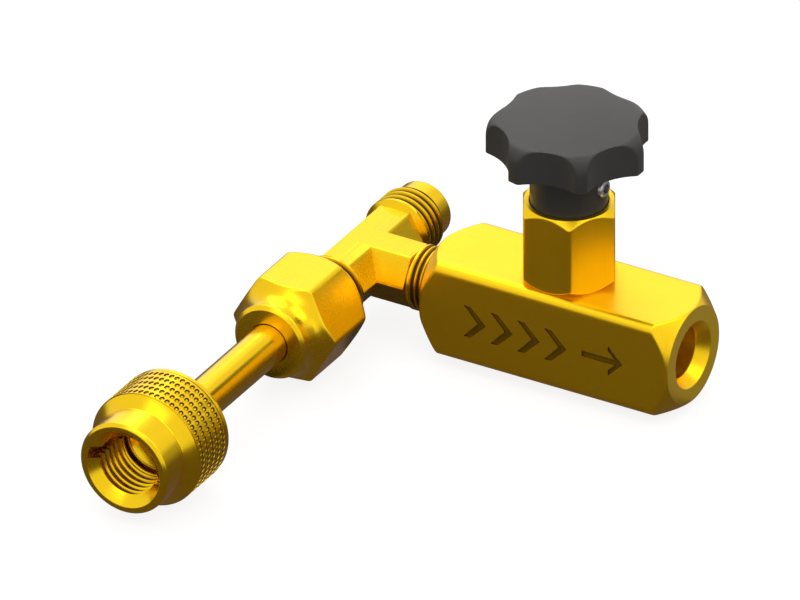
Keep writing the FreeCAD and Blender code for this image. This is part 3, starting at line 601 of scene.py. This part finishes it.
def make_body():
    sizes = bpy.context.scene.valve_bar
    pitch = bpy.context.scene.valve_threads.pipe_pitch
    inlet, outlet = BODY_LOW.x, BODY_HIGH.x
    half = BODY_HIGH.y
    face = half - 0.12 * MM
    cone = 3.4 * MM
    break_width = 0.12 * MM
    inlet_radius, inlet_end = 5.18 * MM, inlet + 9.5 * MM
    port_radius, port_end, mouth = 4.15 * MM, outlet - 10.5 * MM, 5.4 * MM
    drill_point = math.tan(math.radians(31))
    limit = prism_limit(4, half * 2, 1.4 * MM)
    inside = softened([(inlet_end + inlet_radius * drill_point, 0), (inlet_end, inlet_radius),
                       (inlet + 0.3 * MM, inlet_radius), (inlet, inlet_radius + 0.3 * MM),
                       (inlet, face - break_width)], 0.1 * MM)
    left = line_rows((inlet, face), (inlet + cone, face + cone), 34)
    right = line_rows((outlet - cone, face + cone), (outlet, face), 34)
    plain_end = outlet - 5.4 * MM
    port = softened([(outlet, face - break_width), (outlet, mouth), (0, port_radius),
                     (plain_end, port_radius)], 0.12 * MM)
    depth = 0.5 * pitch
    thread = thread_rows(plain_end, port_end, pitch, lambda distance, cut: port_radius + depth * cut)
    rows = inside + within(left + right, limit, sizes.edge_blend) + port + thread
    rows.append((port_end - port_radius * drill_point, 0))
    body = loft("valve_body_bar", BODY_AXIS, rows, 256)
    combine(body, body_cavities(inlet_end, port_end) + body_marks(sizes, half))
    finish_piece(body, "valve", "valve_body", finish("drawn_body"))


def body_cavities(inlet_end, port_end):
    """Cutters for the bonnet's bore, the seat and the two passages."""
    low = -3.0 * MM
    seat, roof = -0.4 * MM, 3.0 * MM
    above = BODY_HIGH.z + 1.0 * MM
    seat_bore = loft("seat_bore", STEM_AXIS, [
        (low, 0), (low, 1.2 * MM), (seat, 1.2 * MM), (seat, 3.0 * MM), (roof, 3.0 * MM), (roof, 4.79 * MM),
        (above, 4.79 * MM), (above, 0)])
    drilling = 1.4 * MM
    inlet_way = Axis((0, 0, low), (1, 0, 0), (0, 1, 0))
    outlet_way = Axis((0, 0, 1.4 * MM), (1, 0, 0), (0, 1, 0))
    return [seat_bore, bar_cutter(inlet_way, inlet_end - 1.0 * MM, STEM_X + 0.9 * MM, drilling),
            bar_cutter(outlet_way, STEM_X + 1.5 * MM, port_end + 1.0 * MM, drilling)]


def body_marks(sizes, half):
    """Cutters for the chevrons and the arrow on the front of the bar."""
    near, far = -half - 1.0 * MM, -half + sizes.mark_depth
    last_tip, chevron_middle, chevron_half = -15.6 * MM, -0.25 * MM, 2.7 * MM
    tail, tip, middle = -13.0 * MM, -5.8 * MM, -0.05 * MM
    half_shaft, half_head, barb = 0.52 * MM, 2.6 * MM, 0.95 * MM
    cutters = []
    for index in range(sizes.chevron_count):
        outline = chevron(last_tip - index * sizes.chevron_pitch, chevron_middle, chevron_half,
                          sizes.mark_stroke)
        cutters.append(prism(f"chevron_{index}", outline, near, far))
    cutters.append(prism("arrow", arrow(tail, tip, middle, half_shaft, half_head, barb), near, far))
    return cutters


def make_bonnet():
    sizes = bpy.context.scene.valve_bar
    low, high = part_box("bonnet")
    across = high.y - low.y
    top, deck = high.z, BODY_HIGH.z
    face = across / 2 - 0.15 * MM
    cone = 1.5 * MM
    pocket_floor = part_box("packing_washer")[0].z - 0.03 * MM
    clip_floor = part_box("gland_clip")[0].z - 0.03 * MM
    hub_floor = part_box("gland_clip")[1].z + 0.03 * MM
    spigot, relief = 4.76 * MM, 4.36 * MM
    thread, neck, pocket, catch, hub_bore = 2.58 * MM, 2.08 * MM, 3.5 * MM, 3.9 * MM, 6.08 * MM
    below = softened([(low.z, thread), (low.z, relief), (low.z + 0.4 * MM, spigot),
                      (deck - 0.9 * MM, spigot), (deck - 0.9 * MM, relief), (deck, relief),
                      (deck, face - 0.1 * MM)], 0.06 * MM)
    limit = prism_limit(6, across, 0.7 * MM)
    lower = line_rows((deck, face), (deck + cone, face + cone), 18)
    upper = line_rows((top - cone, face + cone), (top, face), 18)
    inside = softened([(top, face - 0.1 * MM), (top, hub_bore), (hub_floor, hub_bore), (hub_floor, catch),
                       (clip_floor, catch), (clip_floor, pocket), (pocket_floor, pocket),
                       (pocket_floor, neck), (pocket_floor - 0.8 * MM, neck),
                       (pocket_floor - 0.8 * MM, thread), (low.z, thread)], 0.12 * MM)
    rows = below + within(lower + upper, limit, sizes.edge_blend) + inside
    bonnet = loft("bonnet_hexagon", STEM_AXIS, rows, 240)
    finish_piece(bonnet, "valve", "bonnet", finish("drawn_bonnet"))


# Knob

def make_knob():
    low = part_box("knob")[0]
    lobes = 7
    radius = 12.65 * MM
    shoulder, shoulder_height, crown_height = 2.0 * MM, 2.75 * MM, 0.5 * MM
    hub = 6.0 * MM
    head = low.z + 13.7 * MM
    rim = head + 2.9 * MM
    edge = radius - shoulder
    insert_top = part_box("knob_insert")[1].z + 0.03 * MM
    hollow_radius, hollow_centre = 8.8 * MM, 19.25 * MM
    sector = FULL_TURN / lobes
    turned = FULL_TURN / 4

    def limit(turn):
        away = (turn + turned) % sector - sector / 2
        across = hollow_centre * math.sin(away)
        if abs(across) >= hollow_radius:
            return radius * 2
        return hollow_centre * math.cos(away) - math.sqrt(hollow_radius ** 2 - across ** 2)

    inner = softened([(STEM_HIGH.z + 0.03 * MM, 0), (STEM_HIGH.z + 0.03 * MM, 2.03 * MM),
                      (insert_top, 2.03 * MM), (insert_top, 3.2 * MM), (low.z, 3.2 * MM),
                      (low.z, hub), (head, hub), (head, hub + 1.0 * MM)], 0.2 * MM)
    under = line_rows((head, hub + 1.0 * MM), (head, radius - 0.3 * MM), 12)
    wall = softened([(head, radius - 0.3 * MM), (head, radius), (rim, radius), (rim + 0.1 * MM, radius)],
                    0.25 * MM)
    turn_over = [(rim + shoulder_height * math.sin(step * math.pi / 24),
                  edge + shoulder * math.cos(step * math.pi / 24)) for step in range(1, 13)]
    crown = [(rim + shoulder_height + crown_height * (1 - (share / 16) ** 2), edge * share / 16)
             for share in range(15, -1, -1)]
    rows = inner + within(under + wall + turn_over + crown[:-1], limit, 0.22 * MM) + [crown[-1]]
    knob = loft("knob_head", STEM_AXIS, rows, 336)
    screw_low, screw_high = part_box("set_screw")
    screw_way = Axis((STEM_X, 0, (screw_low.z + screw_high.z) / 2), (1, 0, 0), (0, 1, 0))
    combine(knob, [bar_cutter(screw_way, 0, hub + 1.0 * MM, 1.53 * MM)])
    finish_piece(knob, "handle", "knob", finish("moulded_plastic"))


def make_set_screw():
    low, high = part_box("set_screw")
    radius, socket = 1.45 * MM, 0.87 * MM
    end = high.x + 0.9 * MM
    axis = Axis((0, 0, (low.z + high.z) / 2), (1, 0, 0), (0, 1, 0))
    rows = softened([(low.x, 0), (low.x, radius - 0.4 * MM), (low.x + 0.4 * MM, radius),
                     (end - 0.25 * MM, radius), (end, radius - 0.25 * MM), (end, 0)], 0.06 * MM)
    screw = loft("socket_screw", axis, rows, 48)
    combine(screw, [bar_cutter(axis, end - 1.2 * MM, end + 1.0 * MM, socket, 6)])
    finish_piece(screw, "handle", "set_screw", finish("plated_steel"))


# Tee, nut and tube

# Radius of the tee's arms where the hexagon ends, length of the cone up to the thread, and the threads'
# depth as a share of their pitch
ARM_ROOT = 4.25 * MM
ARM_RUN_IN = 0.65 * MM
ARM_THREAD_DEPTH = 0.54


def flare_rows(sign, hexagon_end):
    """Rows of one male flare arm, from the end of the hexagon to the small end of its cone."""
    pitch = bpy.context.scene.valve_threads.flare_pitch
    nose, land, thread_end, nose_end = 4.7 * MM, 2.7 * MM, 15.4 * MM, 18.0 * MM
    thread_start = hexagon_end + ARM_RUN_IN
    depth = ARM_THREAD_DEPTH * pitch

    def radius_at(distance, cut):
        chamfer = thread_end + nose - abs(distance)
        return max(min(FLARE_RADIUS - depth * cut, chamfer), nose)

    rows = [(hexagon_end * sign, ARM_ROOT), (thread_start * sign, FLARE_RADIUS)]
    rows += thread_rows(thread_start * sign, thread_end * sign, pitch, radius_at)
    rows += softened([(thread_end * sign, nose), (nose_end * sign, nose),
                      ((nose_end + nose - land) * sign, land), ((nose_end + nose - land) * sign, 0)],
                     0.15 * MM)
    return rows


def make_tee():
    sizes = bpy.context.scene.valve_bar
    pitch = bpy.context.scene.valve_threads.pipe_pitch
    blend = sizes.edge_blend / 2
    across = 8.74 * MM
    limit = prism_limit(6, across, 0.35 * MM)
    wide, face, hexagon_end = across, across / 2 - 0.12 * MM, 9.1 * MM
    sides = within([(-hexagon_end, face), (-hexagon_end, wide), (hexagon_end, wide), (hexagon_end, face)],
                   limit, blend)
    rows = list(reversed(flare_rows(-1, hexagon_end))) + sides + flare_rows(1, hexagon_end)
    run = loft("tee_run", RUN_AXIS, rows, 120)
    branch_end, radius, end, chamfer = 9.5 * MM, 5.15 * MM, 21.0 * MM, 0.8 * MM
    start = branch_end + ARM_RUN_IN
    depth = ARM_THREAD_DEPTH * pitch

    def radius_at(distance, cut):
        return min(radius - depth * cut, radius + end - chamfer - distance)

    rows = [(0, 0)] + within([(0, wide), (branch_end, wide), (branch_end, ARM_ROOT)], limit, blend)
    rows += [(branch_end, ARM_ROOT), (start, radius)]
    rows += thread_rows(start, end, pitch, radius_at) + [(end, 0)]
    branch = loft("tee_branch", BRANCH_AXIS, rows, 120)
    combine(run, [branch], "UNION")
    bore, half_run, branch_reach = 2.35 * MM, 21.0 * MM, 22.0 * MM
    combine(run, [bar_cutter(RUN_AXIS, -half_run, half_run, bore),
                  bar_cutter(BRANCH_AXIS, 0, branch_reach, bore)])
    run.name = "street_tee"
    finish_piece(run, "valve", "tee_fitting", finish("threaded_brass"))


def make_nut():
    low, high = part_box("flare_nut")
    back, front = -high.y, -low.y
    across = high.z - low.z
    face = across / 2 - 0.05 * MM
    cone = 2.0 * MM
    collar, chamfer, collar_length, bell = 6.2 * MM, 0.6 * MM, 1.0 * MM, 4.15 * MM
    thread, hole = 5.53 * MM, 3.3 * MM
    seat = 23.70 * MM
    inside = softened([(back + 3.0 * MM, thread), (back, thread), (back, face - 0.1 * MM)], 0.12 * MM)
    turned = line_rows((back, face), (back + cone, face + cone), 20)
    curve = [(front - collar_length - bell * math.sin(step * math.pi / 56),
              collar + bell - bell * math.cos(step * math.pi / 56)) for step in range(28, -1, -1)]
    limit = prism_limit(6, across, 0.95 * MM)
    outside = within(turned + curve, limit, 0.4 * MM)
    ahead = softened([(front - collar_length, collar), (front - chamfer, collar), (front, collar - chamfer),
                      (front, hole), (seat - hole, hole), (seat - thread, thread),
                      (back + 3.0 * MM, thread)], 0.12 * MM)
    nut = loft("flare_nut_forging", FRONT_AXIS, inside + outside + ahead, 252)
    finish_piece(nut, "valve", "flare_nut", finish("forged_brass"))


def make_tube():
    low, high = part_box("tube")
    back, front = -high.y, -low.y
    mouth, bore, outside, wall = 4.2 * MM, 2.4 * MM, 3.2 * MM, 0.65 * MM * math.sqrt(2)
    rim = mouth + wall / 2
    reach = mouth + wall - outside
    corners = [(back + mouth - bore + 5.0 * MM, bore), (back + mouth - bore, bore), (back, mouth),
               (back + wall / 2, rim), (back + reach, outside), (front - reach, outside),
               (front - wall / 2, rim), (front, mouth), (front - mouth + bore, bore),
               (back + mouth - bore + 5.0 * MM, bore)]
    tube = loft("flared_tube", FRONT_AXIS, softened(corners, 0.15 * MM), 96)
    finish_piece(tube, "valve", "tube", finish("drawn_tube"))


# Coupler

def knurl_cell(width, height, sizes):
    """One flat cell of the knurl with a flat-bottomed dimple in its middle."""
    bm = bmesh.new()
    steps = (-0.5, -0.25, 0, 0.25)
    edge = [(x, -0.5) for x in steps] + [(0.5, y) for y in steps]
    edge += [(-x, 0.5) for x in steps] + [(-0.5, -y) for y in steps]
    rings = [[bm.verts.new((x * width, y * height, 0)) for x, y in edge]]
    across, along = sizes.half_width, sizes.half_length
    for share, drop in ((1.0, 0), (0.86, 0.7), (0.55, 1.0)):
        ring = []
        for x, y in edge:
            turn = math.atan2(y * height / along, x * width / across)
            ring.append(bm.verts.new((across * share * math.cos(turn), along * share * math.sin(turn),
                                      -sizes.depth * drop)))
        rings.append(ring)
    for outer, inner in zip(rings, rings[1:]):
        for index in range(len(edge)):
            after = (index + 1) % len(edge)
            bm.faces.new((outer[index], outer[after], inner[after], inner[index]))
    bm.faces.new(rings[-1])
    mesh = bpy.data.meshes.new("knurl_cell")
    bm.to_mesh(mesh)
    bm.free()
    return new_piece("knurl_cell", mesh)


def knurl_tree(cell, material):
    """Geometry nodes that lay the cell in rings and wrap them round the grip."""
    group = bpy.data.node_groups.new("knurl_rings", "GeometryNodeTree")
    face = group.interface
    face.new_socket("Geometry", in_out="INPUT", socket_type="NodeSocketGeometry")
    for name in ("Per Ring", "Rings"):
        face.new_socket(name, in_out="INPUT", socket_type="NodeSocketInt")
    for name in ("Radius", "Width", "Height", "Start"):
        face.new_socket(name, in_out="INPUT", socket_type="NodeSocketFloat")
    face.new_socket("Geometry", in_out="OUTPUT", socket_type="NodeSocketGeometry")
    tree = Tree(group)
    entry = group.nodes.new("NodeGroupInput")
    given = {socket.name: Wire(tree, socket) for socket in entry.outputs if socket.name}
    index = tree.node("GeometryNodeInputIndex")
    ring = index.sum("MODULO", index, given["Rings"])
    column = index.sum("FLOOR", index / given["Rings"])
    across = (column + 0.5) * given["Width"]
    along = (ring + 0.5) * given["Height"]
    spot = tree.node("ShaderNodeCombineXYZ", None, {"X": across, "Y": along})
    points = tree.node("GeometryNodePoints", None, {"Count": given["Per Ring"] * given["Rings"],
                                                    "Position": spot})
    shape = tree.node("GeometryNodeObjectInfo", None, {"Object": cell}, "Geometry")
    laid = tree.node("GeometryNodeInstanceOnPoints", None, {"Points": points, "Instance": shape})
    real = tree.node("GeometryNodeRealizeInstances", None, {"Geometry": laid})
    place = tree.node("GeometryNodeInputPosition")
    parts = tree.node("ShaderNodeSeparateXYZ", None, {"Vector": place})
    flat_x, flat_y, lift = (Wire(tree, parts.socket.node.outputs[part]) for part in range(3))
    turn = flat_x / given["Radius"]
    out = lift + given["Radius"]
    sideways = out * turn.sum("SINE", turn)
    upwards = out * turn.sum("COSINE", turn)
    wrapped = tree.node("ShaderNodeCombineXYZ", None,
                        {"X": RUN_X - sideways, "Y": (flat_y + given["Start"]) * -1.0, "Z": upwards})
    bent = tree.node("GeometryNodeSetPosition", None, {"Geometry": real, "Position": wrapped})
    whole = tree.node("GeometryNodeMergeByDistance", None, {"Geometry": bent, "Distance": MERGE})
    dressed = tree.node("GeometryNodeSetMaterial", None, {"Geometry": whole, "Material": material})
    tree.node("NodeGroupOutput", None, {"Geometry": dressed})
    return group


def knurl_mesh(start, end, radius, material):
    """The knurled skin of the grip as a plain mesh."""
    sizes = bpy.context.scene.valve_knurl
    width = FULL_TURN * radius / sizes.per_ring
    height = (end - start) / sizes.rings
    cell = knurl_cell(width, height, sizes)
    skin = new_piece("knurl_skin", bpy.data.meshes.new("knurl_skin"))
    laid = skin.modifiers.new("knurl", "NODES")
    laid.node_group = knurl_tree(cell, material)
    values = {"Per Ring": sizes.per_ring, "Rings": sizes.rings, "Radius": radius, "Width": width,
              "Height": height, "Start": start}
    for socket in laid.node_group.interface.items_tree:
        if socket.name in values:
            laid[socket.identifier] = values[socket.name]
    bake(skin)
    mesh = skin.data
    bpy.data.objects.remove(skin)
    bpy.data.objects.remove(cell)
    return mesh


def make_coupler():
    pitch = bpy.context.scene.valve_threads.flare_pitch
    low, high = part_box("coupler")
    back, front = -high.y, -low.y
    grip, band, nose = 9.45 * MM, 9.3 * MM, 7.65 * MM
    nose_back = front - 5.45 * MM
    grip_front = nose_back - band + nose
    band_front = back + 1.0 * MM
    groove_front, groove = band_front + 0.3 * MM, 9.05 * MM
    knurl_back = band_front + 0.5 * MM
    minor, mouth, chamber, tail = 4.91 * MM, 6.46 * MM, 5.7 * MM, 4.03 * MM
    thread_back = front - 8.8 * MM
    shoulder = 60.29 * MM
    depth = 0.51 * pitch
    thread_front = front - mouth + minor
    ahead = softened([(grip_front, grip), (grip_front, band), (nose_back, nose), (front - 0.5 * MM, nose),
                      (front, nose - 0.5 * MM), (front, mouth), (thread_front, minor)], 0.12 * MM)
    thread = thread_rows(thread_front, thread_back, pitch, lambda distance, cut: minor + depth * cut)
    behind = softened([(thread_back, minor), (thread_back, chamber), (shoulder, chamber), (shoulder, tail),
                       (back, tail), (back, band - 0.3 * MM), (back + 0.3 * MM, band), (band_front, band),
                       (band_front, groove), (groove_front, groove), (groove_front, grip),
                       (knurl_back, grip)], 0.06 * MM)
    columns = bpy.context.scene.valve_knurl.per_ring * 4
    material = finish("knurled_brass")
    shell = loft_mesh("coupler_shell", FRONT_AXIS, ahead + thread + behind, columns)
    bm = bmesh.new()
    bm.from_mesh(shell)
    bm.from_mesh(knurl_mesh(knurl_back, grip_front, grip, material))
    coupler = new_piece("knurled_coupler", mesh_from(bm, "knurled_coupler"))
    combine(coupler, [vent_cutter(minor + 1.35 * MM, thread_back, front)])
    finish_piece(coupler, "swivel", "coupler", material)


def vent_cutter(reach, back, front):
    """A cutter for the two vent slots across the coupler's thread."""
    half = 1.05 * MM
    lean = math.radians(-11)
    corners = [(-reach, -half), (reach, -half), (reach, half), (-reach, half)]
    outline = [(RUN_X + x * math.cos(lean) - z * math.sin(lean), x * math.sin(lean) + z * math.cos(lean))
               for x, z in corners]
    return prism("vent_cutter", outline, -front - 1.0 * MM, -back)


# Pieces whose measured shape is already right

SMALL_PARTS = {
    "bonnet_gasket": "soft_copper", "packing_washer": "plated_steel", "packing_ring_lower": "white_packing",
    "packing_ring_upper": "white_packing", "packing_gland": "turned_brass", "gland_clip": "plated_steel",
    "needle_tip": "plated_steel", "tip_clip": "plated_steel", "stem": "plated_steel",
    "knob_insert": "turned_brass", "core_depressor": "turned_brass",
    "swivel_sleeve": "turned_brass",
}


def dress_small_parts():
    for name, look in SMALL_PARTS.items():
        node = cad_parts[name]
        for slot in node.material_slots:
            slot.material = finish(look)
        if not node.material_slots:
            node.data.materials.append(finish(look))


# Stage

# Direction from the valve, distance and size in metres, power in watts
LAMPS = {
    "left_top_lamp": ((-0.5, 0.35, 1.0), 0.5, 0.35, 0.75),
    "right_top_lamp": ((0.6, 0.1, 1.0), 0.5, 0.35, 0.55),
    "sky_lamp": ((-0.433, 0.75, 0.5), 0.7, 0.6, 0.42),
    "edge_lamp": ((-0.05, -0.46, 0.86), 0.5, 0.35, 0.35),
    "right_lamp": ((1.0, -0.2, 0.15), 0.5, 0.3, 0.12),
}
WARM = (1.0, 0.8, 0.95)
NEUTRAL = (1, 1, 1)
# Depth under the floor, level, tone and corners in millimetres
# Painted reflection: glowing cards on the floor that darken what the metal mirrors; under_card is the
# valve's own shadow painted into reflections, and the warm tone makes those reflections browner.
FLAT_CARDS = {
    "table_card": (0.006, 0.13, WARM, ((-600, -600), (600, -600), (600, 600), (-600, 600))),
    "under_card": (0.003, 0.04, WARM, ((-72, -40), (-56, -40), (-56, -14), (-42, -8), (-42, 25), (-72, 25))),
    "end_card": (0.003, 0.26, NEUTRAL, ((3, 2), (90, 2), (90, 120), (3, 120))),
}
# The upright card is painted reflection: a dark glowing sheet that darkens what the right-facing faces
# mirror.
# Places in metres that the upright card at the valve's right runs through
SIDE_CARD_LINE = ((0.4, -0.1), (0.4, 0.25), (0.15, 0.4))


def add_lamp(name, direction, distance, size, power):
    """A square soft lamp that looks at the middle of the valve from a direction."""
    aim = Vector(((BODY_LOW.x + BODY_HIGH.x) / 2, -0.01, 0.005))
    lamp = bpy.data.lights.new(name, "AREA")
    lamp.size = size
    lamp.energy = power
    holder = bpy.data.objects.new(name, lamp)
    away = Vector(direction).normalized()
    holder.location = aim + away * distance
    holder.rotation_euler = (-away).to_track_quat("-Z", "Y").to_euler()
    bpy.context.scene.collection.objects.link(holder)


def seen_straight(tree):
    """1 where the camera, a reflection or a refraction looks, 0 for the light that bounces."""
    path = tree.node("ShaderNodeLightPath")
    outputs = path.socket.node.outputs
    camera, glossy, clear = (Wire(tree, outputs[name])
                             for name in ("Is Camera Ray", "Is Glossy Ray", "Is Transmission Ray"))
    return camera.largest(glossy).largest(clear)


def flat_sheet(name, corners):
    """One flat face through its corners."""
    bm = bmesh.new()
    bm.faces.new([bm.verts.new(corner) for corner in corners])
    mesh = bpy.data.meshes.new(name)
    bm.to_mesh(mesh)
    bm.free()
    return new_piece(name, mesh)


def make_floor(tone):
    """A pale floor that looks white and keeps the shadow of the valve."""
    half, level = 2.0, FLOOR_Z - 0.01 * MM
    glow_share, glow_strength, bounce_tone = 0.75, 1.15, (0.12, 0.12, 0.12)
    floor = flat_sheet("floor", [(-half, -half, level), (half, -half, level), (half, half, level),
                                 (-half, half, level)])
    material, tree = new_material("pale_floor")
    paint = tree.node("ShaderNodeBsdfDiffuse", None, {"Color": (*tone, 1)})
    bounce = tree.node("ShaderNodeBsdfDiffuse", None, {"Color": (*bounce_tone, 1)})
    glow = tree.node("ShaderNodeEmission", None, {"Color": (1, 1, 1, 1), "Strength": glow_strength})
    shown = tree.node("ShaderNodeMixShader", None, {0: glow_share, 1: paint, 2: glow})
    both = tree.node("ShaderNodeMixShader", None, {0: seen_straight(tree), 1: bounce, 2: shown})
    tree.node("ShaderNodeOutputMaterial", None, {"Surface": both})
    floor.data.materials.append(material)


def make_shade_card(name, corners, level, tone):
    """A dark glowing card that only reflections see, as a studio sets one beside bright metal: painted
    reflection that darkens what the metal mirrors.
    """
    card = flat_sheet(name, corners)
    card.visible_camera = False
    card.visible_diffuse = False
    card.visible_shadow = False
    card.visible_transmission = False
    material, tree = new_material(name)
    glow = tree.node("ShaderNodeEmission", None, {"Color": (*tone, 1), "Strength": level})
    tree.node("ShaderNodeOutputMaterial", None, {"Surface": glow})
    card.data.materials.append(material)


def make_world():
    """White where it is seen straight, and a weak even light otherwise."""
    world = bpy.data.worlds.new("studio")
    world.use_nodes = True
    bpy.context.scene.world = world
    tree = Tree(world.node_tree)
    seen = tree.node("ShaderNodeBackground", None, {"Color": (1, 1, 1, 1), "Strength": 1.0})
    soft = tree.node("ShaderNodeBackground", None, {"Color": (1, 1, 1, 1), "Strength": 0.55})
    both = tree.node("ShaderNodeMixShader", None, {0: seen_straight(tree), 1: soft, 2: seen})
    tree.node("ShaderNodeOutputWorld", None, {"Surface": both})


def make_camera(stage):
    """A parallel view from the photograph's side."""
    turn, rise = stage.azimuth, stage.elevation
    right = Vector((math.cos(turn), math.sin(turn), 0))
    towards = Vector((math.sin(turn) * math.cos(rise), -math.cos(turn) * math.cos(rise), math.sin(rise)))
    up = towards.cross(right)
    data = bpy.data.cameras.new("camera")
    data.type = "ORTHO"
    data.ortho_scale = stage.view_width
    data.clip_start = 1.0 * MM
    data.clip_end = 5.0
    camera = bpy.data.objects.new("camera", data)
    camera.location = right * stage.centre_right + up * stage.centre_up + towards * 0.4
    camera.rotation_euler = (-towards).to_track_quat("-Z", "Y").to_euler()
    bpy.context.scene.collection.objects.link(camera)
    bpy.context.scene.camera = camera


def make_stage():
    stage = bpy.context.scene.valve_stage
    bpy.context.scene.view_settings.view_transform = "Standard"
    make_camera(stage)
    make_world()
    make_floor(tuple(stage.floor_colour))
    # Painted reflection and painted shadow: dark glowing cards on the floor that only reflections see.
    for name, (depth, level, tone, outline) in FLAT_CARDS.items():
        low = FLOOR_Z - depth * MM
        make_shade_card(name, [(x * MM, y * MM, low) for x, y in outline], level, tone)
    # Painted reflection: the upright dark card at the valve's right.
    low, high = FLOOR_Z - 0.003 * MM, 0.14
    bottom = [(x, y, low) for x, y in SIDE_CARD_LINE]
    top = [(x, y, high) for x, y in reversed(SIDE_CARD_LINE)]
    make_shade_card("side_card", bottom + top, 0.4, NEUTRAL)
    for name, lamp in LAMPS.items():
        add_lamp(name, *lamp)


# Operators, one for each piece or group of like pieces

class VALVE_OT_stage(bpy.types.Operator):
    """Add the floor, the lamps, the background and the camera"""

    bl_idname = "valve.stage"
    bl_label = "Stage"

    def execute(self, context):
        make_stage()
        return {"FINISHED"}


class VALVE_OT_body(bpy.types.Operator):
    """Make the square body with its turned ends, ports and engraved marks"""

    bl_idname = "valve.body"
    bl_label = "Body"

    def execute(self, context):
        make_body()
        return {"FINISHED"}


class VALVE_OT_bonnet(bpy.types.Operator):
    """Make the hexagonal bonnet"""

    bl_idname = "valve.bonnet"
    bl_label = "Bonnet"

    def execute(self, context):
        make_bonnet()
        return {"FINISHED"}


class VALVE_OT_knob(bpy.types.Operator):
    """Make the seven-lobed knob, its hub and its set screw"""

    bl_idname = "valve.knob"
    bl_label = "Knob"

    def execute(self, context):
        make_knob()
        make_set_screw()
        return {"FINISHED"}


class VALVE_OT_tee(bpy.types.Operator):
    """Make the street tee with its flare and pipe threads"""

    bl_idname = "valve.tee"
    bl_label = "Street tee"

    def execute(self, context):
        make_tee()
        return {"FINISHED"}


class VALVE_OT_nut(bpy.types.Operator):
    """Make the forged flare nut"""

    bl_idname = "valve.nut"
    bl_label = "Flare nut"

    def execute(self, context):
        make_nut()
        return {"FINISHED"}


class VALVE_OT_tube(bpy.types.Operator):
    """Make the flared tube"""

    bl_idname = "valve.tube"
    bl_label = "Tube"

    def execute(self, context):
        make_tube()
        return {"FINISHED"}


class VALVE_OT_coupler(bpy.types.Operator):
    """Make the knurled swivel coupler with its thread and vent slots"""

    bl_idname = "valve.coupler"
    bl_label = "Coupler"

    def execute(self, context):
        make_coupler()
        return {"FINISHED"}


class VALVE_OT_small_parts(bpy.types.Operator):
    """Give the small and inner pieces their finishes"""

    bl_idname = "valve.small_parts"
    bl_label = "Small parts"

    def execute(self, context):
        dress_small_parts()
        return {"FINISHED"}


OPERATORS = (VALVE_OT_stage, VALVE_OT_body, VALVE_OT_bonnet, VALVE_OT_knob, VALVE_OT_tee, VALVE_OT_nut,
             VALVE_OT_tube, VALVE_OT_coupler, VALVE_OT_small_parts)
SETTINGS = {"valve_bar": BarSizes, "valve_threads": ThreadSizes, "valve_knurl": KnurlSizes,
            "valve_colours": FinishColours, "valve_stage": StageSizes}


class VALVE_PT_panel(bpy.types.Panel):
    """Lists the sizes and the pieces of the valve"""

    bl_idname = "VALVE_PT_panel"
    bl_label = "Bleed-off valve"
    bl_space_type = "VIEW_3D"
    bl_region_type = "UI"
    bl_category = "Valve"

    def draw(self, context):
        for name, group in SETTINGS.items():
            box = self.layout.box()
            for key in group.__annotations__:
                box.prop(getattr(context.scene, name), key)
        for operator in OPERATORS:
            self.layout.operator(operator.bl_idname)


def register():
    for group in SETTINGS.values():
        bpy.utils.register_class(group)
    for name, group in SETTINGS.items():
        setattr(bpy.types.Scene, name, bpy.props.PointerProperty(type=group))
    for operator in OPERATORS:
        bpy.utils.register_class(operator)
    bpy.utils.register_class(VALVE_PT_panel)


def unregister():
    bpy.utils.unregister_class(VALVE_PT_panel)
    for operator in reversed(OPERATORS):
        bpy.utils.unregister_class(operator)
    for name, group in SETTINGS.items():
        delattr(bpy.types.Scene, name)
        bpy.utils.unregister_class(group)


def main():
    register()
    bpy.ops.valve.stage()
    bpy.ops.valve.body()
    bpy.ops.valve.bonnet()
    bpy.ops.valve.knob()
    bpy.ops.valve.tee()
    bpy.ops.valve.nut()
    bpy.ops.valve.tube()
    bpy.ops.valve.coupler()
    bpy.ops.valve.small_parts()


if __name__ == "__main__":
    main()
